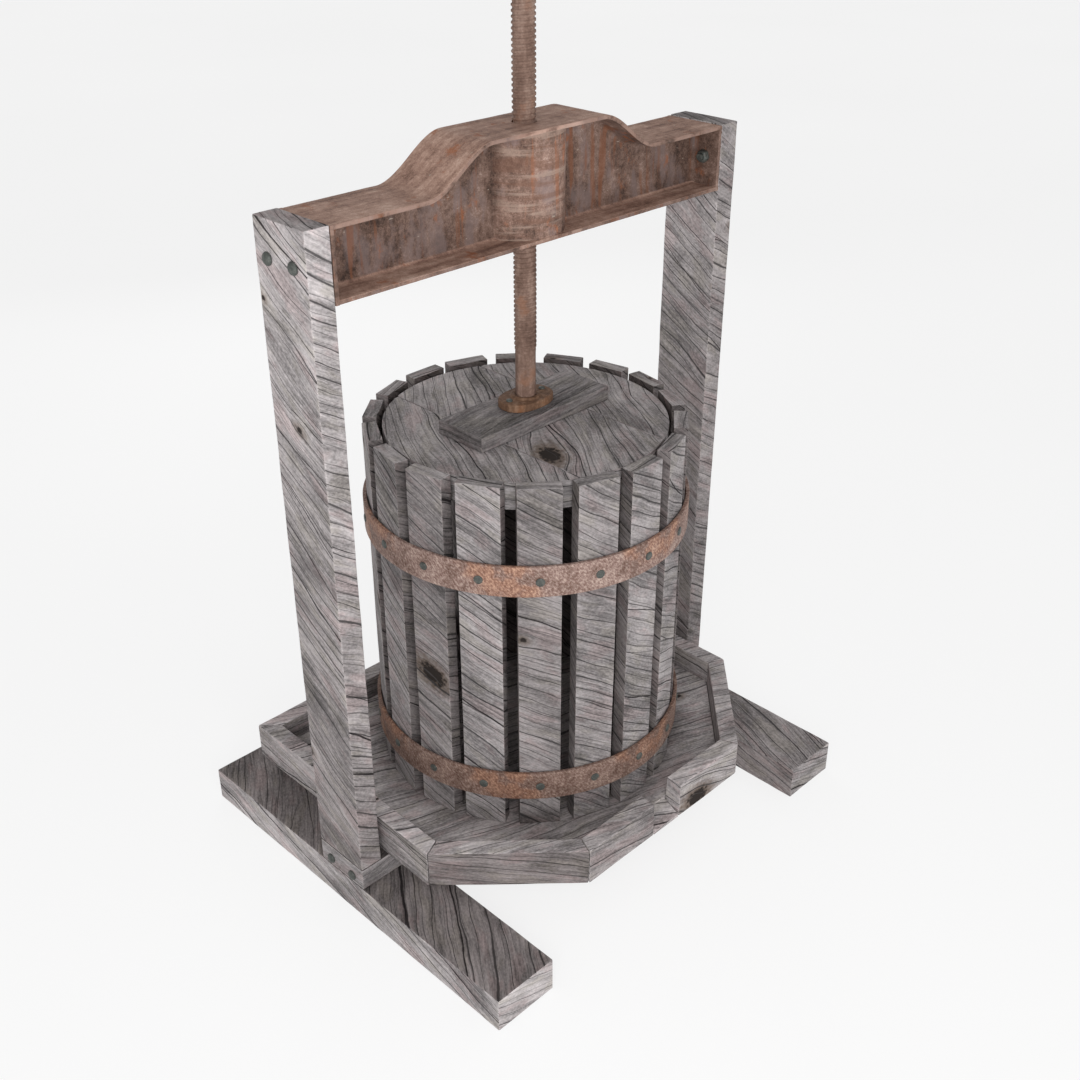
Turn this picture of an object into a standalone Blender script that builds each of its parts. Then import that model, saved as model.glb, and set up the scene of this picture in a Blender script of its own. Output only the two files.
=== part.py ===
"""Antique apple cider press: timber stand, slatted basket in a lipped tray, cast-iron
crossbeam and a long iron screw that drives a three-board pressing plate.

Frame of the model: metres, +Z up, origin on the floor under the screw's axis.
X runs along the crossbeam, -Y is the front, where the tray's pour opening is.
"""

import math

import bmesh
import bpy
from mathutils import Matrix, Vector

# ---------------------------------------------------------------- driving dimensions
GAP = 0.0003                 # play left between pieces that touch

HALF_WIDTH = 0.343           # outer faces of the uprights, feet and crosspiece
HALF_DEPTH = 0.044           # half of the timber's depth in the uprights and crosspiece

FOOT_WIDTH = 0.093
FOOT_HEIGHT = 0.051
FOOT_HALF_LENGTH = 0.299

CROSSPIECE_TOP = 0.0845
UPRIGHT_THICKNESS = 0.032
UPRIGHT_TOP = 0.923
TENON_THICKNESS = 0.014      # stub tenon at the foot of each upright
TENON_HALF_DEPTH = 0.034
TENON_LENGTH = 0.0255

TRAY_HALF_WIDTH = 0.2995
TRAY_BACK = 0.2437
TRAY_SIDE_FRONT = -0.1245    # where the side boards meet the slanted front boards
TRAY_FRONT = -0.2660
TRAY_FRONT_HALF = 0.1515     # half length of the tray's straight front
TRAY_RIM_TOP = 0.1390
TRAY_FLOOR_TOP = 0.1053
RIM_THICKNESS = 0.0255
POUR_HALF_WIDTH = 0.026
POUR_LIP_TOP = 0.0895        # height of the floor's bevelled edge at the pour opening

STAVE_COUNT = 18
STAVE_WIDTH = 0.0538
STAVE_THICKNESS = 0.019
STAVE_FACE_RADIUS = 0.206    # from the axis to the middle of a stave's outer face
STAVE_TOP = 0.607
HOOP_OUTER_RADIUS = 0.2131
HOOP_THICKNESS = 0.005
HOOP_HEIGHT = 0.042
HOOP_CENTRES = {"upper": 0.485, "lower": 0.174}

RIVET_HEAD_RADIUS = 0.0056
RIVET_HEAD_HEIGHT = 0.0018
RIVET_SHANK_RADIUS = 0.0025

PLATE_RADIUS = 0.1825
PLATE_TOP = 0.6015
PLATE_THICKNESS = 0.036
PLATE_JOINT_X = 0.0735       # the two joints between the plate's three boards
BLOCK_HALF_LENGTH = 0.1126
BLOCK_HALF_DEPTH = 0.0394
BLOCK_TOP = 0.6218

COLLAR_TOP = 0.632
COLLAR_HALF_LENGTH = 0.0385
COLLAR_HALF_DEPTH = 0.0265
COLLAR_RING_RADIUS = 0.0185
COLLAR_RING_TOP = 0.6345
COLLAR_SCREW_X = 0.0285

SCREW_RADIUS = 0.0140
SCREW_NECK_RADIUS = 0.0128
SCREW_NECK_TOP = 0.692
SCREW_FOOT_RADIUS = 0.0185
SCREW_FOOT_BOTTOM = 0.6095
SCREW_FOOT_TOP = 0.6205
SCREW_TOP = 1.375

BEAM_BOTTOM = 0.8387
BEAM_END_TOP = 0.9215
BEAM_ARCH_TOP = 0.9680
BEAM_ARCH_FLAT_X = 0.088     # the arch's flat crown ends here
BEAM_ARCH_FOOT_X = 0.183     # and its S-curve runs out here
BEAM_SKIN = 0.0052           # thickness of the flanges and end plates
BEAM_WEB = 0.007
BOSS_HALF_X = 0.0525
BOSS_HALF_Y = 0.0430

BOLT_Y = 0.022               # every pair of bolts sits this far each side of the middle
BEAM_BOLT_Z = 0.881
BASE_BOLT_Z = 0.064
BOLT_SHANK_RADIUS = 0.0040
LAG_LENGTH = 0.075           # depth of the lag bolts in the crosspiece

HUB_BOTTOM = 1.330
HUB_TOP = 1.384
HUB_RADIUS = 0.026
SPIGOT_RADIUS = 0.0115       # the screw's turned-down top, inside the head
BAR_Z = 1.358
BAR_RADIUS = 0.0095
BAR_HALF_LENGTH = 0.250
BAR_TIP_RADIUS = 0.0070      # the bar's turned-down ends, inside the knobs
KNOB_RADIUS = 0.0175
KNOB_SOCKET = 0.018          # depth of the knobs' blind sockets


# ---------------------------------------------------------------- scene and materials
def clear_scene():
    for old in list(bpy.data.objects):
        bpy.data.objects.remove(old, do_unlink=True)


def make_material(name, colour, roughness, metallic):
    mat = bpy.data.materials.new(name)
    mat.use_nodes = True
    shader = mat.node_tree.nodes["Principled BSDF"]
    shader.inputs["Base Color"].default_value = (*colour, 1.0)
    shader.inputs["Roughness"].default_value = roughness
    shader.inputs["Metallic"].default_value = metallic
    mat.diffuse_color = (*colour, 1.0)
    return mat


FINISHES = {
    "weathered_timber": ((0.235, 0.215, 0.210), 0.85, 0.0),
    "rusty_casting": ((0.120, 0.075, 0.058), 0.75, 0.6),
    "rusty_bar": ((0.230, 0.110, 0.065), 0.70, 0.6),
    "hoop_iron": ((0.300, 0.165, 0.110), 0.75, 0.5),
    "dark_fastener": ((0.070, 0.085, 0.080), 0.60, 0.7),
}


def add_object(name, bm, finish, smooth_angle=None):
    """Turn a bmesh into a named object with its own material."""
    bmesh.ops.recalc_face_normals(bm, faces=bm.faces)
    mesh = bpy.data.meshes.new(name)
    bm.to_mesh(mesh)
    bm.free()
    obj = bpy.data.objects.new(name, mesh)
    bpy.context.scene.collection.objects.link(obj)
    obj.data.materials.append(make_material(name + "_" + finish, *FINISHES[finish]))
    if smooth_angle is not None:
        mesh.shade_smooth()
        mesh.set_sharp_from_angle(angle=math.radians(smooth_angle))
    return obj


def add_tool(name, bm):
    """A hidden operand for a Boolean modifier."""
    bmesh.ops.recalc_face_normals(bm, faces=bm.faces)
    mesh = bpy.data.meshes.new(name)
    bm.to_mesh(mesh)
    bm.free()
    obj = bpy.data.objects.new(name, mesh)
    bpy.context.scene.collection.objects.link(obj)
    obj.hide_render = True
    obj.display_type = "WIRE"
    return obj


def use_tool(obj, tool, operation="DIFFERENCE"):
    mod = obj.modifiers.new(tool.name, "BOOLEAN")
    mod.operation = operation
    mod.solver = "EXACT"
    mod.object = tool


def soften(obj, width):
    """Ease the arrises of a timber or casting."""
    mod = obj.modifiers.new("eased edges", "BEVEL")
    mod.width = width
    mod.segments = 1
    mod.limit_method = "ANGLE"
    mod.angle_limit = math.radians(40)


# ---------------------------------------------------------------- shapes
def box_shape(low, high):
    bm = bmesh.new()
    size = [high[i] - low[i] for i in range(3)]
    middle = [(high[i] + low[i]) / 2 for i in range(3)]
    place = Matrix.Translation(middle) @ Matrix.Diagonal((*size, 1.0))
    bmesh.ops.create_cube(bm, size=1.0, matrix=place)
    return bm


def prism_shape(outline, low, high, axis="z"):
    """Extrude an outline from low to high. The outline is in XY for axis z, in XZ for axis y."""
    bm = bmesh.new()

    def point(u, v, w):
        return (u, v, w) if axis == "z" else (u, w, v)

    base = [bm.verts.new(point(u, v, low)) for u, v in outline]
    face = bm.faces.new(base)
    grown = bmesh.ops.extrude_face_region(bm, geom=[face])
    shift = Vector((0, 0, high - low)) if axis == "z" else Vector((0, high - low, 0))
    new_verts = [g for g in grown["geom"] if isinstance(g, bmesh.types.BMVert)]
    bmesh.ops.translate(bm, verts=new_verts, vec=shift)
    return bm


def turned_into(bm, profile, segments, place=None):
    """Add a solid of revolution about Z; profile is (radius, height), both ends on the axis."""
    place = place or Matrix.Identity(4)
    rings = []
    for radius, height in profile:
        if radius == 0:
            rings.append([bm.verts.new(place @ Vector((0, 0, height)))])
            continue
        ring = []
        for k in range(segments):
            turn = 2 * math.pi * k / segments
            corner = Vector((radius * math.cos(turn), radius * math.sin(turn), height))
            ring.append(bm.verts.new(place @ corner))
        rings.append(ring)
    for lower, upper in zip(rings, rings[1:]):
        for k in range(segments):
            after = (k + 1) % segments
            if len(lower) == 1:
                bm.faces.new((lower[0], upper[after], upper[k]))
            elif len(upper) == 1:
                bm.faces.new((lower[k], lower[after], upper[0]))
            else:
                bm.faces.new((lower[k], lower[after], upper[after], upper[k]))


def turned_shape(profile, segments, place=None):
    bm = bmesh.new()
    turned_into(bm, profile, segments, place)
    return bm


def rod_profile(radius, low, high):
    return [(0, low), (radius, low), (radius, high), (0, high)]


def rods_shape(radius, low, high, places, segments=12):
    """Several equal rods, each along its own place's Z."""
    bm = bmesh.new()
    for place in places:
        turned_into(bm, rod_profile(radius, low, high), segments, place)
    return bm


def pointing(direction, origin):
    """A place whose Z looks along direction."""
    turn = Vector((0, 0, 1)).rotation_difference(Vector(direction)).to_matrix().to_4x4()
    return Matrix.Translation(origin) @ turn


# ---------------------------------------------------------------- stand
def side_name(side):
    return "left" if side < 0 else "right"


def mirrored_range(side, inner, outer):
    return (inner, outer) if side > 0 else (-outer, -inner)


def build_feet():
    for side in (-1, 1):
        x_low, x_high = mirrored_range(side, HALF_WIDTH - FOOT_WIDTH, HALF_WIDTH)
        shape = box_shape((x_low, -FOOT_HALF_LENGTH, 0), (x_high, FOOT_HALF_LENGTH, FOOT_HEIGHT))
        soften(add_object(side_name(side) + "_foot", shape, "weathered_timber"), 0.002)


def build_crosspiece(bolt_holes):
    low = FOOT_HEIGHT + GAP
    shape = box_shape((-HALF_WIDTH, -HALF_DEPTH, low), (HALF_WIDTH, HALF_DEPTH, CROSSPIECE_TOP))
    crosspiece = add_object("base_crosspiece", shape, "weathered_timber")
    soften(crosspiece, 0.002)
    mortises = bmesh.new()
    centre = HALF_WIDTH - UPRIGHT_THICKNESS / 2
    for side in (-1, 1):
        half = TENON_THICKNESS / 2 + GAP
        depth = TENON_HALF_DEPTH + GAP
        middle = Vector((side * centre, 0, CROSSPIECE_TOP))
        size = Matrix.Diagonal((2 * half, 2 * depth, 2 * (TENON_LENGTH + GAP), 1.0))
        bmesh.ops.create_cube(mortises, size=1.0, matrix=Matrix.Translation(middle) @ size)
    use_tool(crosspiece, add_tool("crosspiece mortises", mortises))
    use_tool(crosspiece, bolt_holes)


def build_uprights(base_holes, beam_holes):
    """Each upright stands on the crosspiece, with a stub tenon let into it."""
    for side in (-1, 1):
        inner = HALF_WIDTH - UPRIGHT_THICKNESS
        x_low, x_high = mirrored_range(side, inner, HALF_WIDTH)
        bottom = CROSSPIECE_TOP + GAP
        shape = box_shape((x_low, -HALF_DEPTH, bottom), (x_high, HALF_DEPTH, UPRIGHT_TOP))
        upright = add_object(side_name(side) + "_upright", shape, "weathered_timber")
        soften(upright, 0.0018)
        centre = side * (inner + UPRIGHT_THICKNESS / 2)
        half = TENON_THICKNESS / 2
        tenon = box_shape((centre - half, -TENON_HALF_DEPTH, CROSSPIECE_TOP - TENON_LENGTH),
                          (centre + half, TENON_HALF_DEPTH, bottom + 0.02))
        use_tool(upright, add_tool(side_name(side) + " tenon", tenon), "UNION")
        use_tool(upright, base_holes)
        use_tool(upright, beam_holes)


def end_bolt_places(height):
    """Two bolts in each end of the stand at one height: name ending and a place whose Z
    points inwards from the outer face."""
    places = {}
    for side in (-1, 1):
        for label, y in (("front", -BOLT_Y), ("back", BOLT_Y)):
            place = pointing((-side, 0, 0), (side * HALF_WIDTH, y, height))
            places[side_name(side) + "_" + label] = place
    return places


def domed_head(radius, height, shank):
    """Profile of a domed head that sits on the face at height 0 and rises to minus Z."""
    rise = [(0, -height), (radius * 0.55, -height * 0.86), (radius * 0.88, -height * 0.50)]
    return rise + [(radius, -GAP - height * 0.12), (radius, -GAP), (shank, -GAP)]


def build_base_bolts():
    """Lag bolts through the end of the crosspiece and the upright's tenon."""
    for ending, place in end_bolt_places(BASE_BOLT_Z).items():
        shank = BOLT_SHANK_RADIUS
        profile = domed_head(0.0070, 0.0045, shank) + [(shank, LAG_LENGTH), (0, LAG_LENGTH)]
        add_object("base_bolt_" + ending, turned_shape(profile, 12, place), "dark_fastener", 35)


def build_beam_bolts(bolt_holes):
    """Round-headed bolts through the uprights and the crossbeam's end plates, with nuts."""
    reach = UPRIGHT_THICKNESS + BEAM_SKIN + 0.0125
    nut_low = UPRIGHT_THICKNESS + BEAM_SKIN + 3 * GAP
    for ending, place in end_bolt_places(BEAM_BOLT_Z).items():
        shank = BOLT_SHANK_RADIUS
        profile = domed_head(0.0076, 0.0050, shank) + [(shank, reach), (0, reach)]
        add_object("beam_bolt_" + ending, turned_shape(profile, 12, place), "dark_fastener", 35)
        profile = [(0, nut_low), (0.0088, nut_low), (0.0088, nut_low + 0.0055),
                   (0.0072, nut_low + 0.0075), (0, nut_low + 0.0075)]
        nut = add_object("beam_nut_" + ending, turned_shape(profile, 6, place), "dark_fastener", 25)
        use_tool(nut, bolt_holes)


def ring_into(bm, section, segments, place=None, start=0.0):
    """Sweep a closed (radius, height) section round Z to make a ring."""
    place = place or Matrix.Identity(4)
    rings = []
    for k in range(segments):
        turn = start + 2 * math.pi * k / segments
        rings.append([bm.verts.new(place @ Vector((r * math.cos(turn), r * math.sin(turn), h)))
                      for r, h in section])
    count = len(section)
    for k in range(segments):
        here, there = rings[k], rings[(k + 1) % segments]
        for i in range(count):
            j = (i + 1) % count
            bm.faces.new((here[i], there[i], there[j], here[j]))


# ---------------------------------------------------------------- tray
def tray_outline(inset):
    """The tray's outline set in from its outer faces, anticlockwise from the back left."""
    run = TRAY_HALF_WIDTH - TRAY_FRONT_HALF
    rise = TRAY_SIDE_FRONT - TRAY_FRONT
    length = math.hypot(run, rise)
    normal_x, normal_y = rise / length, run / length
    side_x = TRAY_HALF_WIDTH - inset
    side_y = TRAY_SIDE_FRONT + (inset - inset * normal_x) / normal_y
    front_y = TRAY_FRONT + inset
    front_x = TRAY_FRONT_HALF + (inset * normal_y - inset) / normal_x
    back_y = TRAY_BACK - inset
    return [(-side_x, back_y), (-side_x, side_y), (-front_x, front_y),
            (front_x, front_y), (side_x, side_y), (side_x, back_y)]


def shrink_convex(points, amount):
    """Pull every side of a convex anticlockwise outline inwards by amount."""
    count = len(points)
    moved = []
    for i in range(count):
        before, here, after = (Vector(points[j % count]) for j in (i - 1, i, i + 1))
        edge_in, edge_out = (here - before).normalized(), (after - here).normalized()
        normal_in = Vector((-edge_in.y, edge_in.x))
        normal_out = Vector((-edge_out.y, edge_out.x))
        bisector = (normal_in + normal_out).normalized()
        moved.append(tuple(here + bisector * (amount / bisector.dot(normal_in))))
    return moved


def build_tray_rim():
    """Seven boards with mitred corners; the front is in two parts beside the opening."""
    outer = tray_outline(0.0)
    inner = tray_outline(RIM_THICKNESS)
    pour = POUR_HALF_WIDTH
    boards = {
        "tray_rim_left": [outer[0], outer[1], inner[1], inner[0]],
        "tray_rim_slant_left": [outer[1], outer[2], inner[2], inner[1]],
        "tray_rim_front_left": [outer[2], (-pour, outer[2][1]), (-pour, inner[2][1]), inner[2]],
        "tray_rim_front_right": [(pour, outer[3][1]), outer[3], inner[3], (pour, inner[3][1])],
        "tray_rim_slant_right": [outer[3], outer[4], inner[4], inner[3]],
        "tray_rim_right": [outer[4], outer[5], inner[5], inner[4]],
        "tray_rim_back": [outer[5], outer[0], inner[0], inner[5]],
    }
    for name, outline in boards.items():
        shape = prism_shape(shrink_convex(outline, GAP / 2), CROSSPIECE_TOP + GAP, TRAY_RIM_TOP)
        soften(add_object(name, shape, "weathered_timber"), 0.0015)


def build_tray_floor():
    """One board inside the rim, with a tongue that fills the pour opening and slopes down."""
    inner = tray_outline(RIM_THICKNESS + GAP)
    low, high = CROSSPIECE_TOP + GAP, TRAY_FLOOR_TOP
    floor = add_object("tray_floor", prism_shape(inner, low, high), "weathered_timber")
    half = POUR_HALF_WIDTH - GAP
    back = TRAY_FRONT + RIM_THICKNESS + 0.002
    side = [(back + 0.004, low), (TRAY_FRONT, low), (TRAY_FRONT, POUR_LIP_TOP),
            (back, high), (back + 0.004, high)]
    tongue = bmesh.new()
    near = [tongue.verts.new((-half, y, z)) for y, z in side]
    far = [tongue.verts.new((half, y, z)) for y, z in side]
    tongue.faces.new(near)
    tongue.faces.new(far)
    for i in range(len(side)):
        j = (i + 1) % len(side)
        tongue.faces.new((near[i], near[j], far[j], far[i]))
    use_tool(floor, add_tool("pour tongue", tongue), "UNION")


# ---------------------------------------------------------------- basket
def stave_angles():
    """Stave middles; a stave faces the front and a gap faces each upright."""
    step = 360.0 / STAVE_COUNT
    return [-90.0 + step * k for k in range(STAVE_COUNT)]


def rivet_places(height):
    """On each stave's middle line, each place's Z pointing out from the basket's axis."""
    places = []
    for angle in stave_angles():
        turn = math.radians(angle)
        places.append(pointing((math.cos(turn), math.sin(turn), 0), (0, 0, height)))
    return places


def build_basket():
    inner_face = STAVE_FACE_RADIUS - STAVE_THICKNESS
    holes = bmesh.new()
    for height in HOOP_CENTRES.values():
        for place in rivet_places(height):
            profile = rod_profile(RIVET_SHANK_RADIUS + GAP, inner_face - 0.004, 0.225)
            turned_into(holes, profile, 8, place)
    rivet_holes = add_tool("rivet holes", holes)
    for k, angle in enumerate(stave_angles()):
        shape = box_shape((inner_face, -STAVE_WIDTH / 2, TRAY_FLOOR_TOP + GAP),
                          (STAVE_FACE_RADIUS, STAVE_WIDTH / 2, STAVE_TOP))
        bmesh.ops.transform(shape, matrix=Matrix.Rotation(math.radians(angle), 4, "Z"),
                            verts=shape.verts)
        stave = add_object("stave_%02d" % (k + 1), shape, "weathered_timber")
        soften(stave, 0.0012)
        use_tool(stave, rivet_holes)
    for name, centre in HOOP_CENTRES.items():
        build_hoop(name, centre, inner_face)


def build_hoop(name, centre, inner_face):
    """An iron band with its eighteen rivets, whose shanks run through the staves."""
    outer = HOOP_OUTER_RADIUS
    low, high = centre - HOOP_HEIGHT / 2, centre + HOOP_HEIGHT / 2
    section = [(outer - HOOP_THICKNESS, low), (outer, low), (outer, high),
               (outer - HOOP_THICKNESS, high)]
    shape = bmesh.new()
    ring_into(shape, section, STAVE_COUNT * 4, start=math.radians(-90.0 + 2.5))
    hoop = add_object(name + "_hoop", shape, "hoop_iron", 35)
    seat = outer - 0.0004        # the heads bite a little into the band's curve
    top = outer + RIVET_HEAD_HEIGHT
    profile = [(0, inner_face), (RIVET_SHANK_RADIUS, inner_face), (RIVET_SHANK_RADIUS, seat),
               (RIVET_HEAD_RADIUS, seat), (RIVET_HEAD_RADIUS * 0.8, top), (0, top)]
    rivets = bmesh.new()
    for place in rivet_places(centre):
        turned_into(rivets, profile, 8, place)
    use_tool(hoop, add_tool(name + " rivets", rivets), "UNION")


# ---------------------------------------------------------------- pressing plate
def plate_outline(x_low, x_high, radius, steps=64):
    """The part of the disc between two X values, anticlockwise."""
    edge = []
    for k in range(steps):
        turn = 2 * math.pi * (k + 0.5) / steps
        edge.append((radius * math.cos(turn), radius * math.sin(turn)))
    points = [p for p in edge if x_low < p[0] < x_high]
    for x in (x_low, x_high):
        if abs(x) < radius:
            y = math.sqrt(radius * radius - x * x)
            points += [(x, y), (x, -y)]
    middle = (max(x_low, -radius) + min(x_high, radius)) / 2
    return sorted(points, key=lambda p: math.atan2(p[1], p[0] - middle))


def build_plate():
    joint = PLATE_JOINT_X
    boards = {
        "plate_board_left": (-PLATE_RADIUS, -joint - 2 * GAP),
        "plate_board_middle": (-joint + 2 * GAP, joint - 2 * GAP),
        "plate_board_right": (joint + 2 * GAP, PLATE_RADIUS),
    }
    for name, (x_low, x_high) in boards.items():
        outline = plate_outline(x_low, x_high, PLATE_RADIUS)
        shape = prism_shape(outline, PLATE_TOP - PLATE_THICKNESS, PLATE_TOP)
        board = add_object(name, shape, "weathered_timber")
        soften(board, 0.0012)


def build_cross_block():
    """A block across the three boards, with a pocket for the screw's foot."""
    shape = box_shape((-BLOCK_HALF_LENGTH, -BLOCK_HALF_DEPTH, PLATE_TOP + GAP),
                      (BLOCK_HALF_LENGTH, BLOCK_HALF_DEPTH, BLOCK_TOP))
    block = add_object("cross_block", shape, "weathered_timber")
    soften(block, 0.0015)
    pocket = turned_shape(rod_profile(SCREW_FOOT_RADIUS + 2 * GAP, SCREW_FOOT_BOTTOM - GAP,
                                      BLOCK_TOP + 0.01), 32)
    use_tool(block, add_tool("foot pocket", pocket))
    use_tool(block, collar_screw_holes("block"))


def collar_screw_holes(piece):
    places = [pointing((0, 0, 1), (side * COLLAR_SCREW_X, 0, 0)) for side in (-1, 1)]
    holes = rods_shape(0.0025, BLOCK_TOP - 0.0105, COLLAR_TOP + 0.01, places, 10)
    return add_tool(piece + " screw holes", holes)


def oval_outline(half_length, half_depth, steps=32):
    """A flat oval, a little fuller than an ellipse."""
    points = []
    for k in range(steps):
        turn = 2 * math.pi * k / steps
        cos, sin = math.cos(turn), math.sin(turn)
        points.append((half_length * math.copysign(abs(cos) ** 0.85, cos),
                       half_depth * math.copysign(abs(sin) ** 0.85, sin)))
    return points


def build_collar():
    """An oval iron flange that keeps the screw's foot in its pocket."""
    outline = oval_outline(COLLAR_HALF_LENGTH, COLLAR_HALF_DEPTH)
    shape = prism_shape(outline, BLOCK_TOP + GAP, COLLAR_TOP)
    collar = add_object("thrust_collar", shape, "rusty_bar", 35)
    soften(collar, 0.0015)
    ring = turned_shape(rod_profile(COLLAR_RING_RADIUS, COLLAR_TOP - 0.004, COLLAR_RING_TOP), 32)
    use_tool(collar, add_tool("collar ring", ring), "UNION")
    bore = turned_shape(rod_profile(SCREW_NECK_RADIUS + GAP, BLOCK_TOP - 0.01,
                                    COLLAR_RING_TOP + 0.01), 32)
    use_tool(collar, add_tool("collar bore", bore))
    use_tool(collar, collar_screw_holes("collar"))
    for side in (-1, 1):
        place = pointing((0, 0, 1), (side * COLLAR_SCREW_X, 0, 0))
        seat = COLLAR_TOP + GAP
        profile = [(0, BLOCK_TOP - 0.010), (0.0022, BLOCK_TOP - 0.010), (0.0022, seat),
                   (0.0042, seat), (0.0036, seat + 0.0020), (0, seat + 0.0024)]
        screw = turned_shape(profile, 12, place)
        add_object("collar_screw_" + side_name(side), screw, "dark_fastener", 35)


# ---------------------------------------------------------------- screw and its handle
def build_screw():
    """Foot, smooth neck, main shaft and a turned-down end for the hub."""
    profile = [(0, SCREW_FOOT_BOTTOM), (SCREW_FOOT_RADIUS, SCREW_FOOT_BOTTOM),
               (SCREW_FOOT_RADIUS, SCREW_FOOT_TOP), (SCREW_NECK_RADIUS, SCREW_FOOT_TOP),
               (SCREW_NECK_RADIUS, SCREW_NECK_TOP), (SCREW_RADIUS, SCREW_NECK_TOP + 0.002),
               (SCREW_RADIUS, HUB_BOTTOM - GAP), (SPIGOT_RADIUS, HUB_BOTTOM - GAP),
               (SPIGOT_RADIUS, SCREW_TOP - 0.002), (SPIGOT_RADIUS - 0.002, SCREW_TOP),
               (0, SCREW_TOP)]
    screw = add_object("press_screw", turned_shape(profile, 32), "rusty_bar", 35)
    bar_hole = rods_shape(BAR_RADIUS + GAP, -0.05, 0.05, [pointing((1, 0, 0), (0, 0, BAR_Z))], 20)
    hole = add_tool("bar hole", bar_hole)
    use_tool(screw, hole)
    build_hub(hole)


def build_hub(bar_hole):
    """A forged head pinned on the top of the screw, with an eye for the turning bar."""
    bore = SPIGOT_RADIUS + GAP
    section = [(bore, HUB_BOTTOM), (HUB_RADIUS - 0.006, HUB_BOTTOM),
               (HUB_RADIUS, HUB_BOTTOM + 0.008), (HUB_RADIUS, HUB_TOP - 0.008),
               (HUB_RADIUS - 0.005, HUB_TOP), (bore, HUB_TOP)]
    bm = bmesh.new()
    ring_into(bm, section, 24)
    hub = add_object("screw_head", bm, "rusty_casting", 35)
    use_tool(hub, bar_hole)


def build_bar():
    """The turning bar slides in the head's eye; a knob on each end keeps it in."""
    length = BAR_HALF_LENGTH
    shoulder = length - KNOB_SOCKET
    profile = [(0, -length), (BAR_TIP_RADIUS, -length), (BAR_TIP_RADIUS, -shoulder),
               (BAR_RADIUS, -shoulder), (BAR_RADIUS, shoulder), (BAR_TIP_RADIUS, shoulder),
               (BAR_TIP_RADIUS, length), (0, length)]
    place = pointing((1, 0, 0), (0, 0, BAR_Z))
    add_object("turning_bar", turned_shape(profile, 20, place), "rusty_bar", 35)
    for side in (-1, 1):
        place = pointing((side, 0, 0), (side * (shoulder + GAP), 0, BAR_Z))
        knob = turned_shape(knob_profile(), 18, place)
        add_object("bar_knob_" + side_name(side), knob, "rusty_casting", 35)


def knob_profile():
    """A ball flattened where it meets the bar's shoulder, with a blind socket."""
    opening = math.radians(35)
    middle = KNOB_RADIUS * math.cos(opening)
    profile = [(0, KNOB_SOCKET + GAP), (BAR_TIP_RADIUS + GAP, KNOB_SOCKET + GAP),
               (BAR_TIP_RADIUS + GAP, 0)]
    steps = 9
    for k in range(steps):
        turn = opening + (math.pi - opening) * k / steps
        profile.append((KNOB_RADIUS * math.sin(turn), middle - KNOB_RADIUS * math.cos(turn)))
    return profile + [(0, middle + KNOB_RADIUS)]


# ---------------------------------------------------------------- crossbeam
def arch_height(x):
    """Top of the beam at x: level ends, a smooth S up to a flat crown."""
    span = BEAM_ARCH_FOOT_X - BEAM_ARCH_FLAT_X
    t = min(1.0, max(0.0, (BEAM_ARCH_FOOT_X - abs(x)) / span))
    blend = t * t * (3 - 2 * t)
    return BEAM_END_TOP + (BEAM_ARCH_TOP - BEAM_END_TOP) * blend


def beam_outline(inset):
    """The beam's side view set in evenly, from the lower left, anticlockwise."""
    end = HALF_WIDTH - UPRIGHT_THICKNESS - GAP - inset
    points = [(-end, BEAM_BOTTOM + inset), (end, BEAM_BOTTOM + inset)]
    step = (BEAM_ARCH_FOOT_X - BEAM_ARCH_FLAT_X) / 14
    stations = [end] + [BEAM_ARCH_FOOT_X - step * k for k in range(15)]
    right_half = []
    for x in stations:
        slope = (arch_height(x + 0.001) - arch_height(x - 0.001)) / 0.002
        drop = inset / math.cos(math.atan(slope))
        right_half.append((x, arch_height(x) - drop))
    left_half = [(-x, z) for x, z in reversed(right_half)]
    return points + right_half + left_half


def build_crossbeam(bolt_holes):
    """An I-shaped casting: thin web, flanges and end plates all round, and a boss."""
    outer = beam_outline(0.0)
    inner = beam_outline(BEAM_SKIN)
    bm = bmesh.new()
    loops = []
    for outline in (outer, inner):
        for y in (-HALF_DEPTH, HALF_DEPTH):
            loops.append([bm.verts.new((x, y, z)) for x, z in outline])
    outer_front, outer_back, inner_front, inner_back = loops
    count = len(outer)
    for i in range(count):
        j = (i + 1) % count
        bm.faces.new((outer_front[i], outer_front[j], outer_back[j], outer_back[i]))
        bm.faces.new((inner_front[i], inner_back[i], inner_back[j], inner_front[j]))
        bm.faces.new((outer_front[i], inner_front[i], inner_front[j], outer_front[j]))
        bm.faces.new((outer_back[i], outer_back[j], inner_back[j], inner_back[i]))
    beam = add_object("crossbeam", bm, "rusty_casting", 30)
    web = prism_shape(beam_outline(BEAM_SKIN / 2), -BEAM_WEB / 2, BEAM_WEB / 2, axis="y")
    use_tool(beam, add_tool("beam web", web), "UNION")
    turns = [2 * math.pi * k / 40 for k in range(40)]
    oval = [(BOSS_HALF_X * math.cos(turn), BOSS_HALF_Y * math.sin(turn)) for turn in turns]
    boss = prism_shape(oval, BEAM_BOTTOM + BEAM_SKIN / 2, BEAM_ARCH_TOP - BEAM_SKIN / 2)
    use_tool(beam, add_tool("beam boss", boss), "UNION")
    bore = turned_shape(rod_profile(SCREW_RADIUS + GAP, BEAM_BOTTOM - 0.02, BEAM_ARCH_TOP + 0.02), 32)
    use_tool(beam, add_tool("beam bore", bore))
    use_tool(beam, bolt_holes)


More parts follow.
